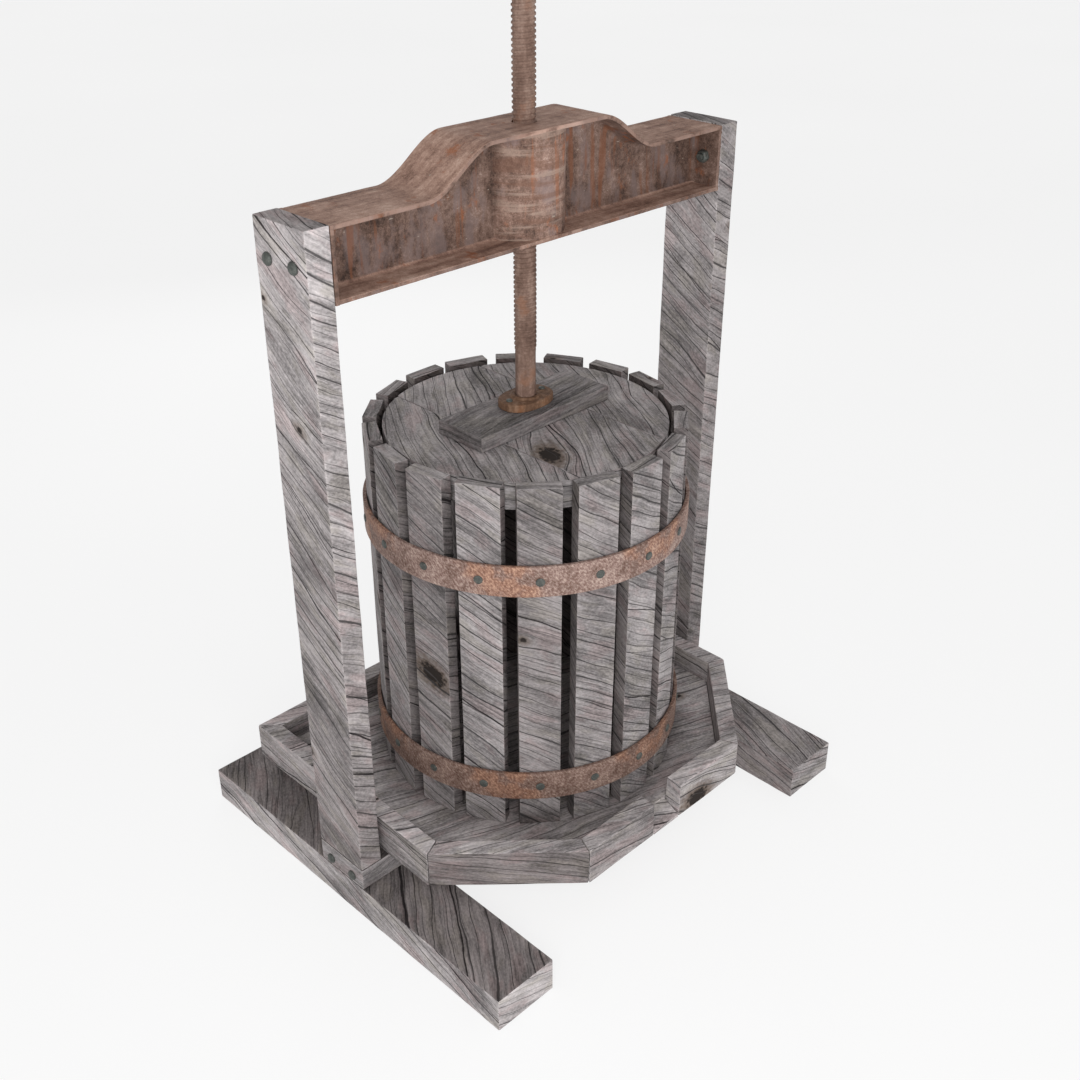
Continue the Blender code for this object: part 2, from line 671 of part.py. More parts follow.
# ---------------------------------------------------------------- the whole press
def main():
    clear_scene()
    base_places = end_bolt_places(BASE_BOLT_Z).values()
    beam_places = end_bolt_places(BEAM_BOLT_Z).values()
    hole = BOLT_SHANK_RADIUS + GAP
    base_rods = rods_shape(hole, -0.01, LAG_LENGTH + 2 * GAP, base_places)
    beam_rods = rods_shape(hole, -0.01, 0.050, beam_places)
    base_holes = add_tool("base bolt holes", base_rods)
    beam_holes = add_tool("beam bolt holes", beam_rods)
    build_feet()
    build_crosspiece(base_holes)
    build_uprights(base_holes, beam_holes)
    build_base_bolts()
    build_tray_floor()
    build_tray_rim()
    build_basket()
    build_plate()
    build_cross_block()
    build_collar()
    build_screw()
    build_bar()
    build_crossbeam(beam_holes)
    build_beam_bolts(beam_holes)


main()
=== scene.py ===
"""The looks of an antique apple cider press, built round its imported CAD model.

Metres, +Z up, the screw on the Z axis, -Y the front with the tray's pour opening. The timber is
rebuilt board by board with worn arrises and a weathered, cracked surface; the casting, screw,
hoops and fasteners are rebuilt with their fillets, thread and domes, in rust and dark iron.
"""

import itertools
import math

import bmesh
import bpy
import numpy as np
from mathutils import Matrix, Vector


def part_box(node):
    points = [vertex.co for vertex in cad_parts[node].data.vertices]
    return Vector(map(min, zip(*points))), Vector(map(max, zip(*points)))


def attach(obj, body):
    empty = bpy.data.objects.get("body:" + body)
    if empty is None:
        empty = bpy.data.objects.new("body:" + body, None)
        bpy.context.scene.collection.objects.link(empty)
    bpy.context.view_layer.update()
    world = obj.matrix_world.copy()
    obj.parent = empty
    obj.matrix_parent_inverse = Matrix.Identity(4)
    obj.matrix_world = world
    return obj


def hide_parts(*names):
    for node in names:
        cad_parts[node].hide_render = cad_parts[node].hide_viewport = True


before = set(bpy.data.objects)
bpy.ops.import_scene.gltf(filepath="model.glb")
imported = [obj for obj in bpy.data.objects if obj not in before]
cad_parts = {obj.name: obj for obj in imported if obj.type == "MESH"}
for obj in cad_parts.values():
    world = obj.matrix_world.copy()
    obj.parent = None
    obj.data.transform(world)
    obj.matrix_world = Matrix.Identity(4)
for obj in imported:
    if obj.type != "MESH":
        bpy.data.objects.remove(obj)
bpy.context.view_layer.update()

# ------------------------------------------------------------------ sizes
GAP = 0.0003                     # play between pieces that touch
CAMERA_SPOT = (-1.0586, -1.0841, 1.2951)
CAMERA_TURN = (60.0, 0.0, -45.0)
CAMERA_FIELD = 45.0

BOARD_PITCH = 0.009              # spacing of the timber meshes' points
STAVE_COUNT = 18
HOOP_THICKNESS = 0.005
RIVET_HEAD_RADIUS = 0.0056
RIVET_HEAD_HEIGHT = 0.0018
BOLT_SHANK = 0.0040               # radius of the domed bolts under their heads
LIP_DROP = 0.0158                # the tray's floor slopes down this much at the pour opening
COLLAR_FLANGE_TOP = 0.632
FLOOR_REACH = 40.0
PLATE_KNOT = (-0.056, -0.099, 0.6015)
RIM_KNOT = (0.064, -0.266, 0.096)
STAVE_KNOT = (-0.2029, -0.0358, 0.321)
# How much darker each tray rim board's outer face is.
RIM_DARKENING = {"slant_left": 0.75, "slant_right": 0.75, "front_left": 0.4, "front_right": 0.15}
STAVE_DARKENING = {3: 0.45, 15: 0.25, 17: 0.35, 18: 0.2}   # staves with a darker outer face, by number; on stave 3 it is painted shade
WIDER_STAVES = {9: (0.0, 0.0036), 16: (0.0014, 0.0)}    # cut wider at the left and right

THREAD_PITCH = 0.006
THREAD_DEPTH = 0.0015
SCREW_RADIUS = 0.0140
NECK_RADIUS = 0.0128
NECK_TOP = 0.692
SPIGOT_RADIUS = 0.0115

BEAM_END_TOP = 0.9215
BEAM_FLAT_X = 0.088              # the arch's flat crown ends here
BEAM_FOOT_X = 0.183              # and its S-curve runs out here
BEAM_SKIN = 0.0052
BEAM_WEB = 0.007
BOSS_HALF_X = 0.0525
BOSS_HALF_Y = 0.0430


# ------------------------------------------------------------------ noise for the shapes
def lattice_noise(points, seed):
    """Smooth noise from -1 to 1 with one value per unit lattice point."""
    cell = np.floor(points).astype(np.int64)
    part = points - cell
    part = part * part * (3 - 2 * part)
    total = np.zeros(len(points))
    for corner in itertools.product((0, 1), repeat=3):
        x, y, z = (cell + corner).T
        mixed = (x * 73856093) ^ (y * 19349663) ^ (z * 83492791) ^ (seed * 7919 + 13)
        mixed = ((mixed ^ (mixed >> 13)) * 1274126177) & 0x7FFFFFFF
        mixed = (mixed ^ (mixed >> 11)) & 0xFFFF
        weight = np.prod(np.where(np.array(corner) == 1, part, 1 - part), axis=1)
        total += weight * (mixed / 32767.5 - 1)
    return total


def rough_noise(points, size, seed, octaves=2):
    """Layered noise from about -1 to 1 whose largest features are size metres across."""
    total = np.zeros(len(points))
    for k in range(octaves):
        total += lattice_noise(points * (2 ** k) / size + 31.7 * k, seed + k) / 2 ** k
    return total / 1.5


def pitting(points, size, seed, octaves=2):
    """How deep a worn surface is pitted, from 0 to 1."""
    return 0.5 + 0.5 * np.clip(rough_noise(points, size, seed, octaves), -1, 1)


# ------------------------------------------------------------------ meshes
def lengths(vectors):
    return np.maximum(np.linalg.norm(vectors, axis=1, keepdims=True), 1e-9)


def grid_quads(ids, flip=False):
    """Quads over a grid of point numbers."""
    quads = np.stack([ids[:-1, :-1], ids[1:, :-1], ids[1:, 1:], ids[:-1, 1:]], axis=-1).reshape(-1, 4)
    return quads[:, ::-1] if flip else quads


def band(lower, upper, count):
    """Quads between two rings of count points, each given by the number of its first point."""
    after = [(k + 1) % count for k in range(count)]
    return [(lower + k, lower + after[k], upper + after[k], upper + k) for k in range(count)]


def box_shell(xs, ys, zs):
    """The surface of a grid box: its points, its quads, and the side (0 to 5) of each quad."""
    shell = np.zeros((len(xs), len(ys), len(zs)), bool)
    shell[[0, -1]] = True
    shell[:, [0, -1]] = True
    shell[:, :, [0, -1]] = True
    ids = np.full(shell.shape, -1)
    ids[shell] = np.arange(shell.sum())
    i, j, k = np.nonzero(shell)
    points = np.stack([xs[i], ys[j], zs[k]], axis=1)
    quads = [grid_quads(ids[0], True), grid_quads(ids[-1]), grid_quads(ids[:, 0]),
             grid_quads(ids[:, -1], True), grid_quads(ids[:, :, 0], True), grid_quads(ids[:, :, -1])]
    return points, np.concatenate(quads), np.repeat(np.arange(6), [len(q) for q in quads])


def stations(length, ease, pitch):
    """Places along one side of a board, closer together at its rounded arrises."""
    near = np.array([0.0, 0.25, 0.6, 1.0]) * ease
    start = 1.6 * ease
    count = max(1, round((length - 2 * start) / pitch))
    middle = np.linspace(start, length - start, count + 1)
    return np.concatenate([near, middle, length - near[::-1]])


def quad_normals(points, quads):
    a, b, c, d = (points[quads[:, k]] for k in range(4))
    return np.cross(c - a, d - b)


def point_normals(points, quads):
    total = np.zeros_like(points)
    across = quad_normals(points, quads)
    for k in range(4):
        np.add.at(total, quads[:, k], across)
    return total / np.maximum(np.linalg.norm(total, axis=1, keepdims=True), 1e-12)


def mesh_object(name, points, faces, sharp=40):
    mesh = bpy.data.meshes.new(name)
    mesh.from_pydata(np.asarray(points).tolist(), [], [list(map(int, f)) for f in faces])
    mesh.shade_smooth()
    mesh.set_sharp_from_angle(angle=math.radians(sharp))
    obj = bpy.data.objects.new(name, mesh)
    bpy.context.scene.collection.objects.link(obj)
    return obj


def add_map(obj, name, values):
    """A UV map, with a value for each corner of each face."""
    layer = obj.data.uv_layers.new(name=name)
    layer.data.foreach_set("uv", values.astype(np.float32).ravel())


def add_values(obj, name, values, domain="POINT"):
    """An attribute that a material reads by name."""
    attribute = obj.data.attributes.new(name, "FLOAT", domain)
    attribute.data.foreach_set("value", values.astype(np.float32))


def finish_piece(obj, nodes, look):
    """Give a piece its body and material, and hide the CAD nodes that it stands for."""
    body, slot, material = look
    obj.data.materials.clear()
    obj.data.materials.append(material)
    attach(obj, body)
    if nodes:
        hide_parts(*nodes)
    return obj


def cut(obj, tool):
    """Subtract tool from obj for good, and remove the tool."""
    mod = obj.modifiers.new("cut", "BOOLEAN")
    mod.operation = "DIFFERENCE"
    mod.solver = "EXACT"
    mod.object = tool
    graph = bpy.context.evaluated_depsgraph_get()
    mesh = bpy.data.meshes.new_from_object(obj.evaluated_get(graph))
    obj.modifiers.clear()
    obj.data = mesh
    mesh.set_sharp_from_angle(angle=math.radians(40))
    bpy.data.objects.remove(tool, do_unlink=True)


def recalc(obj, weld=False):
    """Turn a closed mesh's faces outwards, its doubled points joined first if asked for."""
    bm = bmesh.new()
    bm.from_mesh(obj.data)
    if weld:
        bmesh.ops.remove_doubles(bm, verts=bm.verts, dist=2e-6)
        bmesh.ops.dissolve_degenerate(bm, dist=1e-6, edges=bm.edges)
    bmesh.ops.recalc_face_normals(bm, faces=bm.faces)
    bm.to_mesh(obj.data)
    bm.free()


def turned(profile, segments, place=None):
    """Points and faces of a surface of revolution; a radius of 0 closes an end with a fan."""
    place = np.array(place or Matrix.Identity(4))
    turn = 2 * np.pi * np.arange(segments) / segments
    points, faces, rings = [], [], []
    for radius, height in profile:
        rings.append((len(points), radius == 0))
        if radius == 0:
            points.append((0, 0, height))
        else:
            points += list(zip(radius * np.cos(turn), radius * np.sin(turn), np.full(segments, height)))
    for (lower, low_tip), (upper, high_tip) in zip(rings, rings[1:]):
        for a, b, c, d in band(lower, upper, segments):
            faces.append((lower, c, d) if low_tip else (a, b, upper) if high_tip else (a, b, c, d))
    return np.array(points) @ place[:3, :3].T + place[:3, 3], faces


def turned_piece(name, nodes, look, profile, segments, place):
    finish_piece(mesh_object(name, *turned(profile, segments, place)), nodes, look)


def raised(profile, base):
    return [(radius, base + height) for radius, height in profile]


def pointing(direction, origin):
    """A place whose Z looks along direction."""
    turn = Vector((0, 0, 1)).rotation_difference(Vector(direction)).to_matrix().to_4x4()
    return Matrix.Translation(origin) @ turn


def lying(node):
    """A CAD node along X: its side, how near and far it reaches, and where its axis crosses X = 0."""
    low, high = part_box(node)
    near, far = sorted((abs(low.x), abs(high.x)))
    return (-1 if low.x < 0 else 1), near, far, (0, (low.y + high.y) / 2, (low.z + high.z) / 2)


def arc(middle, radius, start, end, steps):
    """Points of an arc in a (radius, height) profile, in degrees."""
    turns = np.radians(np.linspace(start, end, steps + 1))
    return [(middle[0] + radius * math.cos(t), middle[1] + radius * math.sin(t)) for t in turns]


# ------------------------------------------------------------------ material nodes
class Graph:
    """Short calls that build one material's nodes. An input is a socket or a constant."""

    def __init__(self, name):
        self.material = bpy.data.materials.new(name)
        self.material.use_nodes = True
        self.tree = self.material.node_tree
        self.shader = self.tree.nodes["Principled BSDF"]

    def node(self, kind, **settings):
        made = self.tree.nodes.new(kind)
        for key, value in settings.items():
            setattr(made, key, value)
        return made

    def feed(self, socket, value):
        if isinstance(value, bpy.types.NodeSocket):
            self.tree.links.new(value, socket)
        else:
            socket.default_value = value

    def fed(self, made, *values):
        """A node's outputs, once its first inputs are fed in order."""
        for socket, value in zip(made.inputs, values):
            self.feed(socket, value)
        return made.outputs

    def math(self, operation, *values):
        return self.fed(self.node("ShaderNodeMath", operation=operation), *values)[0]

    def add(self, *terms):
        total = terms[0]
        for term in terms[1:]:
            total = self.math("ADD", total, term)
        return total

    def minus(self, a, b):
        return self.math("SUBTRACT", a, b)

    def times(self, a, b):
        return self.math("MULTIPLY", a, b)

    def line(self, value, slope, start):
        return self.math("MULTIPLY_ADD", value, slope, start)

    def shares(self, *pairs):
        """Terms to add: each value times its share."""
        return [self.times(value, share) for value, share in pairs]

    def swings(self, *pairs):
        """Terms to add: how far each noise is from its middle, times its share."""
        return [self.times(self.minus(value, 0.5), share) for value, share in pairs]

    def vector(self, x, y, z=0.0):
        return self.fed(self.node("ShaderNodeCombineXYZ"), x, y, z)[0]

    def parts(self, vector):
        return self.fed(self.node("ShaderNodeSeparateXYZ"), vector)

    def object_place(self):
        return self.node("ShaderNodeTexCoord").outputs["Object"]

    def map_place(self, name):
        return self.node("ShaderNodeUVMap", uv_map=name).outputs[0]

    def attribute(self, name):
        return self.node("ShaderNodeAttribute", attribute_name=name).outputs["Fac"]

    def noise(self, vector, scale=1.0, detail=2.0, roughness=0.5, dimensions="3D"):
        made = self.node("ShaderNodeTexNoise", noise_dimensions=dimensions)
        for key, value in (("Vector", vector), ("Scale", scale), ("Detail", detail),
                           ("Roughness", roughness)):
            self.feed(made.inputs[key], value)
        return made.outputs["Fac"]

    def streaks(self, u, v, u_scale, v_scale, shift, detail=2.0, roughness=0.5):
        """Noise drawn out along u: a flat pattern of u_scale and v_scale features per metre."""
        place = self.vector(self.line(u, u_scale, shift), self.line(v, v_scale, shift))
        return self.noise(place, 1.0, detail, roughness, "2D")

    def stretched(self, xyz, scales, detail=4.0, roughness=0.6):
        """Noise with its own number of features per metre along X, Y and Z."""
        return self.noise(self.vector(*self.shares(*zip(xyz, scales))), 1.0, detail, roughness)

    def voronoi(self, vector, scale, dimensions="2D"):
        made = self.node("ShaderNodeTexVoronoi", voronoi_dimensions=dimensions)
        self.feed(made.inputs["Vector"], vector)
        self.feed(made.inputs["Scale"], scale)
        return made.outputs

    def step(self, value, low, high):
        """0 below low, 1 above high, smooth between; low may be above high."""
        made = self.node("ShaderNodeMapRange", interpolation_type="SMOOTHSTEP")
        return self.fed(made, value, low, high)[0]

    def mix(self, factor, a, b, blend="MIX"):
        made = self.node("ShaderNodeMix", data_type="RGBA", blend_type=blend)
        self.feed(made.inputs["Factor"], factor)
        sockets = [s for s in made.inputs if s.type == "RGBA"]
        for socket, value in zip(sockets, (a, b)):
            self.feed(socket, (*value, 1.0) if isinstance(value, tuple) else value)
        return next(s for s in made.outputs if s.type == "RGBA")

    def over(self, colour, top, value, low, high, share=None, blend="MIX"):
        """Lay top over a colour where the value has stepped from low to high."""
        cover = self.step(value, low, high)
        return self.mix(cover if share is None else self.times(cover, share), colour, top, blend)

    def ramp(self, value, *stops):
        made = self.node("ShaderNodeValToRGB")
        self.feed(made.inputs[0], value)
        elements = made.color_ramp.elements
        while len(elements) < len(stops):
            elements.new(0.5)
        for element, (place, colour) in zip(elements, stops):
            element.position = place
            element.color = (*colour, 1.0)
        return made.outputs["Color"]

    def finish(self, colour, roughness, height=None, metallic=0.0, specular=0.3):
        """Height is in metres."""
        inputs = self.shader.inputs
        for key, value in (("Base Color", colour), ("Roughness", roughness), ("Metallic", metallic),
                           ("Specular IOR Level", specular)):
            self.feed(inputs[key], value)
        if height is not None:
            bump = self.node("ShaderNodeBump")
            for key, value in (("Strength", 1.0), ("Distance", 1.0), ("Height", height)):
                self.feed(bump.inputs[key], value)
            self.feed(inputs["Normal"], bump.outputs[0])
        return self.material


def tone(red, green, blue):
    """A colour given as it looks on screen, 0 to 255, turned into the linear values nodes use."""
    return tuple(((c / 255 + 0.055) / 1.055) ** 2.4 if c > 10 else c / 255 / 12.92
                 for c in (red, green, blue))


# ------------------------------------------------------------------ materials
def weathered_wood(name, level, line_share=1.0):
    """Grey, bare timber. The grain map's u runs along the grain and v across it, in metres; the
    knot map is the way from the board's one big knot. Level is the mean brightness."""
    g = Graph(name)
    u, v, _ = g.parts(g.map_place("grain"))

    # small knots, scattered, and the board's big one push the grain lines aside
    cell = g.voronoi(g.vector(u, v), 6.5)
    knot_u, knot_v, _ = g.parts(cell["Position"])
    pick, spread, _ = g.parts(cell["Color"])
    off_u, off_v = g.minus(u, knot_u), g.minus(v, knot_v)
    small, small_pull = knot_reach(g, off_u, off_v, g.line(spread, 0.0035, 0.0016))
    present = g.math("GREATER_THAN", pick, 0.62)
    big_u, big_v, _ = g.parts(g.map_place("knot"))
    big, big_pull = knot_reach(g, big_u, big_v, 0.0125)
    v = g.minus(v, g.times(g.times(off_v, g.times(small_pull, present)), 0.8))
    v = g.minus(v, g.times(g.times(big_v, big_pull), 0.85))

    # the grain wanders
    sway = g.streaks(u, v, 3.2, 7.0, 3.1, 1.0)
    wave = g.streaks(u, v, 9.0, 18.0, 12.3, 1.0)
    ripple = g.streaks(u, v, 26.0, 60.0, 8.7, 1.0)
    v = g.add(v, *g.shares((sway, 0.036), (wave, 0.012), (ripple, 0.0030)))

    # patches, growth bands and fibres
    cloud = g.streaks(u, v, 5.0, 11.0, 6.6, 4.0, 0.55)
    blotch = g.streaks(u, v, 24.0, 70.0, 2.4, 4.0, 0.62)
    fibre = g.streaks(u, v, 16.0, 280.0, 5.9, 4.0, 0.68)
    speck = g.streaks(u, v, 210.0, 420.0, 1.3, 2.0, 0.6)
    tint = g.streaks(u, v, 12.0, 34.0, 19.2, 3.0, 0.6)
    wide, wide_shadow = grain_lines(g, u, v, 17.0, 0.0014 * line_share, 1.2, 0.43, 3.0)
    middle, middle_shadow = grain_lines(g, u, v, 66.0, 0.0010 * line_share, 1.8, 0.29, 11.0)
    fine, _ = grain_lines(g, u, v, 150.0, 0.00055 * line_share, 6.0, 0.42, 23.0)

    value = g.add(*g.swings((cloud, 0.78), (blotch, 0.55), (fibre, 0.72), (speck, 0.50)),
                  g.times(g.attribute("shade"), 0.05), 0.5)
    value = g.add(value, *g.shares((middle_shadow, -0.10), (wide_shadow, -0.14)))
    bleached = g.times(g.attribute("edge"), g.step(blotch, 0.40, 0.58))
    value = g.line(bleached, 0.09, value)

    def grey(share):
        return (level * share * 1.055, level * share * 0.975, level * share * 0.975)

    colour = g.ramp(value, (0.12, grey(0.34)), (0.34, grey(0.66)), (0.5, grey(1.0)), (0.66, grey(1.34)),
                    (0.9, grey(1.85)))
    colour = g.over(colour, (1.0, 0.925, 0.92), tint, 0.52, 0.66, blend="MULTIPLY")
    colour = g.over(colour, (0.96, 0.955, 0.91), tint, 0.47, 0.35, blend="MULTIPLY")
    halo = g.math("MAXIMUM", g.times(g.step(small, 3.0, 0.9), g.times(present, 0.55)),
                  g.times(g.step(big, 2.5, 0.9), 0.85))
    colour = g.mix(halo, colour, (level * 0.50, level * 0.36, level * 0.27))
    core = g.math("MAXIMUM", g.times(g.step(small, 1.2, 0.6), present), g.step(big, 1.25, 0.75))
    for cover, share, dark in ((core, 0.93, tone(36, 31, 29)), (fine, 0.60, grey(0.28)),
                               (middle, 0.88, grey(0.16)), (wide, 0.92, tone(44, 39, 40))):
        colour = g.mix(g.times(cover, share), colour, dark)
    # Darken by the per-face and per-point shares: painted shade on tops, in the gaps between staves and
    # inside and under things, with some staining, and darker towards the bottom on some pieces.
    stain = g.math("MAXIMUM", g.attribute("stain"), g.attribute("point_darkening"))
    colour = g.mix(stain, colour, (0.34, 0.31, 0.30), "MULTIPLY")

    height = g.add(*g.shares((wide, -0.0014), (middle, -0.0006), (fine, -0.0003), (fibre, 0.0007),
                             (speck, 0.00015), (blotch, 0.0005), (core, -0.0006)))
    return g.finish(colour, g.line(fibre, -0.12, 0.95), height, specular=0.18)


def knot_reach(g, off_u, off_v, radius):
    """How far a point is from a knot, in ragged radii, and how hard the knot bends the grain there."""
    ragged = g.streaks(off_u, off_v, 160.0, 160.0, 7.0, 3.0)
    away = g.math("SQRT", g.add(g.math("POWER", g.times(off_u, 0.6), 2.0), g.math("POWER", off_v, 2.0)))
    ratio = g.math("DIVIDE", g.line(g.minus(ragged, 0.5), g.times(radius, 1.4), away), radius)
    near = g.math("POWER", g.times(g.math("DIVIDE", away, radius), 0.34), 2.0)
    return ratio, g.math("EXPONENT", g.times(near, -1.0))


def grain_lines(g, u, v, per_metre, half_width, fade, share, shift):
    """Dark lines along the grain, each of its own width, that fade in and out: (line, shadow)."""
    uneven = g.streaks(u, v, 2.0, per_metre * 0.3, shift, 1.0)
    place = g.add(g.times(v, per_metre), g.times(uneven, 1.6), shift)
    number = g.math("FLOOR", place)
    chance = g.node("ShaderNodeTexWhiteNoise", noise_dimensions="1D")
    g.feed(chance.inputs["W"], number)
    where, strength, _ = g.parts(chance.outputs["Color"])
    aside = g.math("DIVIDE", g.minus(g.minus(place, number), g.line(where, 0.4, 0.3)), per_metre)
    mask = g.noise(g.vector(g.line(u, fade, shift), g.times(number, 5.17)), 1.0, 1.0, 0.5, "2D")
    mask = g.times(g.step(mask, share, share + 0.22), g.line(strength, 0.75, 0.25))
    ragged = g.streaks(u, v, 90.0, per_metre * 2.0, shift)
    width = g.add(g.times(g.times(mask, g.line(ragged, 1.1, 0.45)), half_width), 0.00002)
    away = g.math("ABSOLUTE", aside)
    line = g.times(g.step(away, g.times(width, 1.25), g.times(width, 0.5)), g.step(mask, 0.02, 0.3))
    shadow = g.times(g.step(aside, 0.22 / per_metre, 0.0), g.math("GREATER_THAN", aside, 0.0))
    return line, g.times(shadow, mask)


def rusty_casting(name):
    """Dark rusty cast iron; streaks run along its top and down its web. The upright faces are darker,
    partly as painted shade of the recessed web, and the rims paler, partly rubbed and partly a painted
    highlight.
    """
    g = Graph(name)
    place = g.object_place()
    xyz = g.parts(place)
    flat = g.step(g.parts(g.node("ShaderNodeNewGeometry").outputs["Normal"])[2], 0.35, 0.75)
    upright = g.minus(1.0, flat)
    patch = g.noise(place, 13.0, 5.0, 0.62)
    coarse = g.noise(place, 42.0, 4.0, 0.6)
    fine = g.noise(place, 170.0, 4.0, 0.65)
    grit = g.noise(place, 650.0, 2.0, 0.6)
    along = g.stretched(xyz, (7.0, 95.0, 12.0))
    down = g.stretched(xyz, (60.0, 25.0, 9.0))

    value = g.add(*g.swings((patch, 1.2), (coarse, 0.8), (fine, 0.9), (grit, 0.8)), 0.5)
    # Upright faces take the darker ramp: partly rust, partly painted shade of the recessed web.
    web = g.ramp(g.add(value, *g.swings((down, 0.7))), (0.1, tone(56, 42, 36)), (0.45, tone(100, 78, 68)),
                 (0.75, tone(131, 107, 96)), (1.0, tone(160, 139, 130)))
    top = g.ramp(g.add(value, *g.swings((along, 1.2))), (0.1, tone(113, 86, 74)),
                 (0.45, tone(157, 125, 110)), (0.75, tone(184, 152, 136)), (1.0, tone(204, 177, 162)))
    colour = g.mix(flat, web, top)
    panel = g.stretched(xyz, (28.0, 20.0, 12.0))
    colour = g.over(colour, tone(122, 106, 103), panel, 0.50, 0.62, g.times(upright, 0.6))
    run = g.stretched(xyz, (75.0, 30.0, 6.0))
    colour = g.over(colour, tone(126, 78, 52), run, 0.56, 0.66, g.times(upright, 0.6))
    orange = g.stretched(xyz, (26.0, 26.0, 15.0), 6.0, 0.7)
    colour = g.over(colour, tone(150, 88, 52), orange, 0.57, 0.68, 0.75)
    # Paler rims: partly rubbed wear, partly a painted highlight on the flanges' front and back faces.
    rim = g.times(g.attribute("rim"), g.step(coarse, 0.30, 0.55))
    colour = g.mix(g.times(rim, 0.65), colour, tone(164, 135, 122))

    # the boss is paler, with light and dark bands round it
    boss = g.times(g.step(g.math("ABSOLUTE", xyz[0]), 0.056, 0.048), upright)
    colour = g.mix(boss, colour, (1.55, 1.55, 1.55), "MULTIPLY")
    banding = g.stretched(xyz, (9.0, 9.0, 120.0), 3.0)
    colour = g.over(colour, tone(172, 150, 136), banding, 0.50, 0.62, g.times(boss, 0.55))
    colour = g.over(colour, tone(118, 84, 68), banding, 0.47, 0.36, g.times(boss, 0.5))
    scratch = g.stretched(xyz, (90.0, 90.0, 260.0), 2.0, 0.5)
    colour = g.over(colour, tone(178, 164, 150), scratch, 0.735, 0.77, 0.6)
    height = g.add(*g.shares((fine, 0.0006), (coarse, 0.0010), (patch, 0.0010)))
    return g.finish(colour, g.line(fine, 0.25, 0.66), height)


def rusty_steel(name, dark, middle, light, orange, stretch=(60.0, 60.0, 14.0)):
    """Bar stock gone red-brown, with vertical stains and fine pits."""
    g = Graph(name)
    place = g.object_place()
    stain = g.stretched(g.parts(place), stretch, 5.0, 0.62)
    cloud = g.noise(place, 24.0, 4.0, 0.6)
    fine = g.noise(place, 300.0, 4.0, 0.65)
    pits = g.voronoi(place, 420.0, "3D")["Distance"]
    value = g.add(*g.swings((stain, 1.4), (cloud, 0.9), (fine, 0.8)), 0.5)
    colour = g.ramp(value, (0.05, tone(*dark)), (0.5, tone(*middle)), (0.95, tone(*light)))
    colour = g.over(colour, tone(*orange), cloud, 0.56, 0.68, 0.6)
    height = g.add(*g.shares((fine, 0.00035), (stain, 0.0003), (g.step(pits, 0.0, 0.35), 0.00012)))
    return g.finish(colour, g.line(fine, 0.3, 0.6), height)


def hoop_rust(name, darkening):
    """Tan and salmon rust with a fine slanting speckle; u runs round the hoop, v up it. Darkening
    from 0 to 1 makes it darker and browner."""
    g = Graph(name)
    u, v, _ = g.parts(g.map_place("grain"))
    slant = g.vector(g.times(g.add(u, g.times(v, 0.8)), 300.0), g.times(g.minus(v, g.times(u, 0.8)), 170.0))
    speckle = g.noise(slant, 1.0, 3.0, 0.6, "2D")
    flat = g.vector(u, v)
    grain = g.noise(flat, 900.0, 2.0, 0.6, "2D")
    patch = g.noise(flat, 30.0, 4.0, 0.6, "2D")
    cloud = g.noise(flat, 8.0, 3.0, 0.5, "2D")
    value = g.add(*g.swings((speckle, 1.2), (grain, 0.6), (patch, 0.8)), 0.5)
    colour = g.ramp(value, (0.08, tone(94, 64, 54)), (0.40, tone(130, 104, 95)), (0.62, tone(159, 136, 127)),
                    (0.95, tone(204, 182, 168)))
    colour = g.over(colour, (1.0, 0.80, 0.66), cloud, 0.52, 0.66, g.step(patch, 0.38, 0.56), "MULTIPLY")
    colour = g.over(colour, (0.88, 0.92, 0.90), patch, 0.50, 0.36, 0.6, "MULTIPLY")
    colour = g.mix(darkening, colour, (0.60, 0.55, 0.50), "MULTIPLY")
    height = g.add(*g.shares((speckle, 0.0006), (grain, 0.0002), (patch, 0.0005)))
    return g.finish(colour, g.line(speckle, 0.2, 0.68), height)


def dark_iron(name):
    """Grey-green iron of the bolts and rivets, with a little rust."""
    g = Graph(name)
    place = g.object_place()
    cloud = g.noise(place, 160.0, 4.0, 0.6)
    fine = g.noise(place, 900.0, 3.0, 0.6)
    value = g.add(*g.swings((cloud, 1.2), (fine, 0.8)), 0.5)
    colour = g.ramp(value, (0.1, tone(50, 52, 50)), (0.55, tone(84, 87, 83)), (0.95, tone(120, 122, 117)))
    colour = g.over(colour, tone(110, 78, 60), cloud, 0.60, 0.72, 0.5)
    height = g.add(*g.shares((cloud, 0.0003), (fine, 0.0001)))
    return g.finish(colour, g.line(fine, 0.3, 0.42), height, metallic=0.35, specular=0.5)


def pale_floor(name):
    """A studio sweep bright enough of itself that it takes almost no shadow."""
    g = Graph(name)
    cloud = g.noise(g.object_place(), 0.6)
    g.shader.inputs["Emission Color"].default_value = (1.0, 1.0, 1.0, 1.0)
    g.shader.inputs["Emission Strength"].default_value = 0.77
    return g.finish(g.ramp(cloud, (0.3, (0.20, 0.20, 0.20)), (0.7, (0.22, 0.22, 0.22))), 0.9, specular=0.1)


def studio_world():
    """A pale ceiling over duller walls, with a bright band at the floor's horizon."""
    world = bpy.data.worlds.new("studio")
    world.use_nodes = True
    nodes, links = world.node_tree.nodes, world.node_tree.links
    place = nodes.new("ShaderNodeTexCoord")
    parts = nodes.new("ShaderNodeSeparateXYZ")
    ramp = nodes.new("ShaderNodeValToRGB")
    links.new(place.outputs["Generated"], parts.inputs[0])
    links.new(parts.outputs["Z"], ramp.inputs[0])
    links.new(ramp.outputs["Color"], nodes["Background"].inputs["Color"])
    stops = ramp.color_ramp.elements
    stops.new(0.5)
    for stop, (height, grey) in zip(stops, ((0.14, 0.85), (0.25, 0.28), (0.85, 0.60))):
        stop.position = height
        stop.color = (grey, grey, grey, 1.0)
    return world


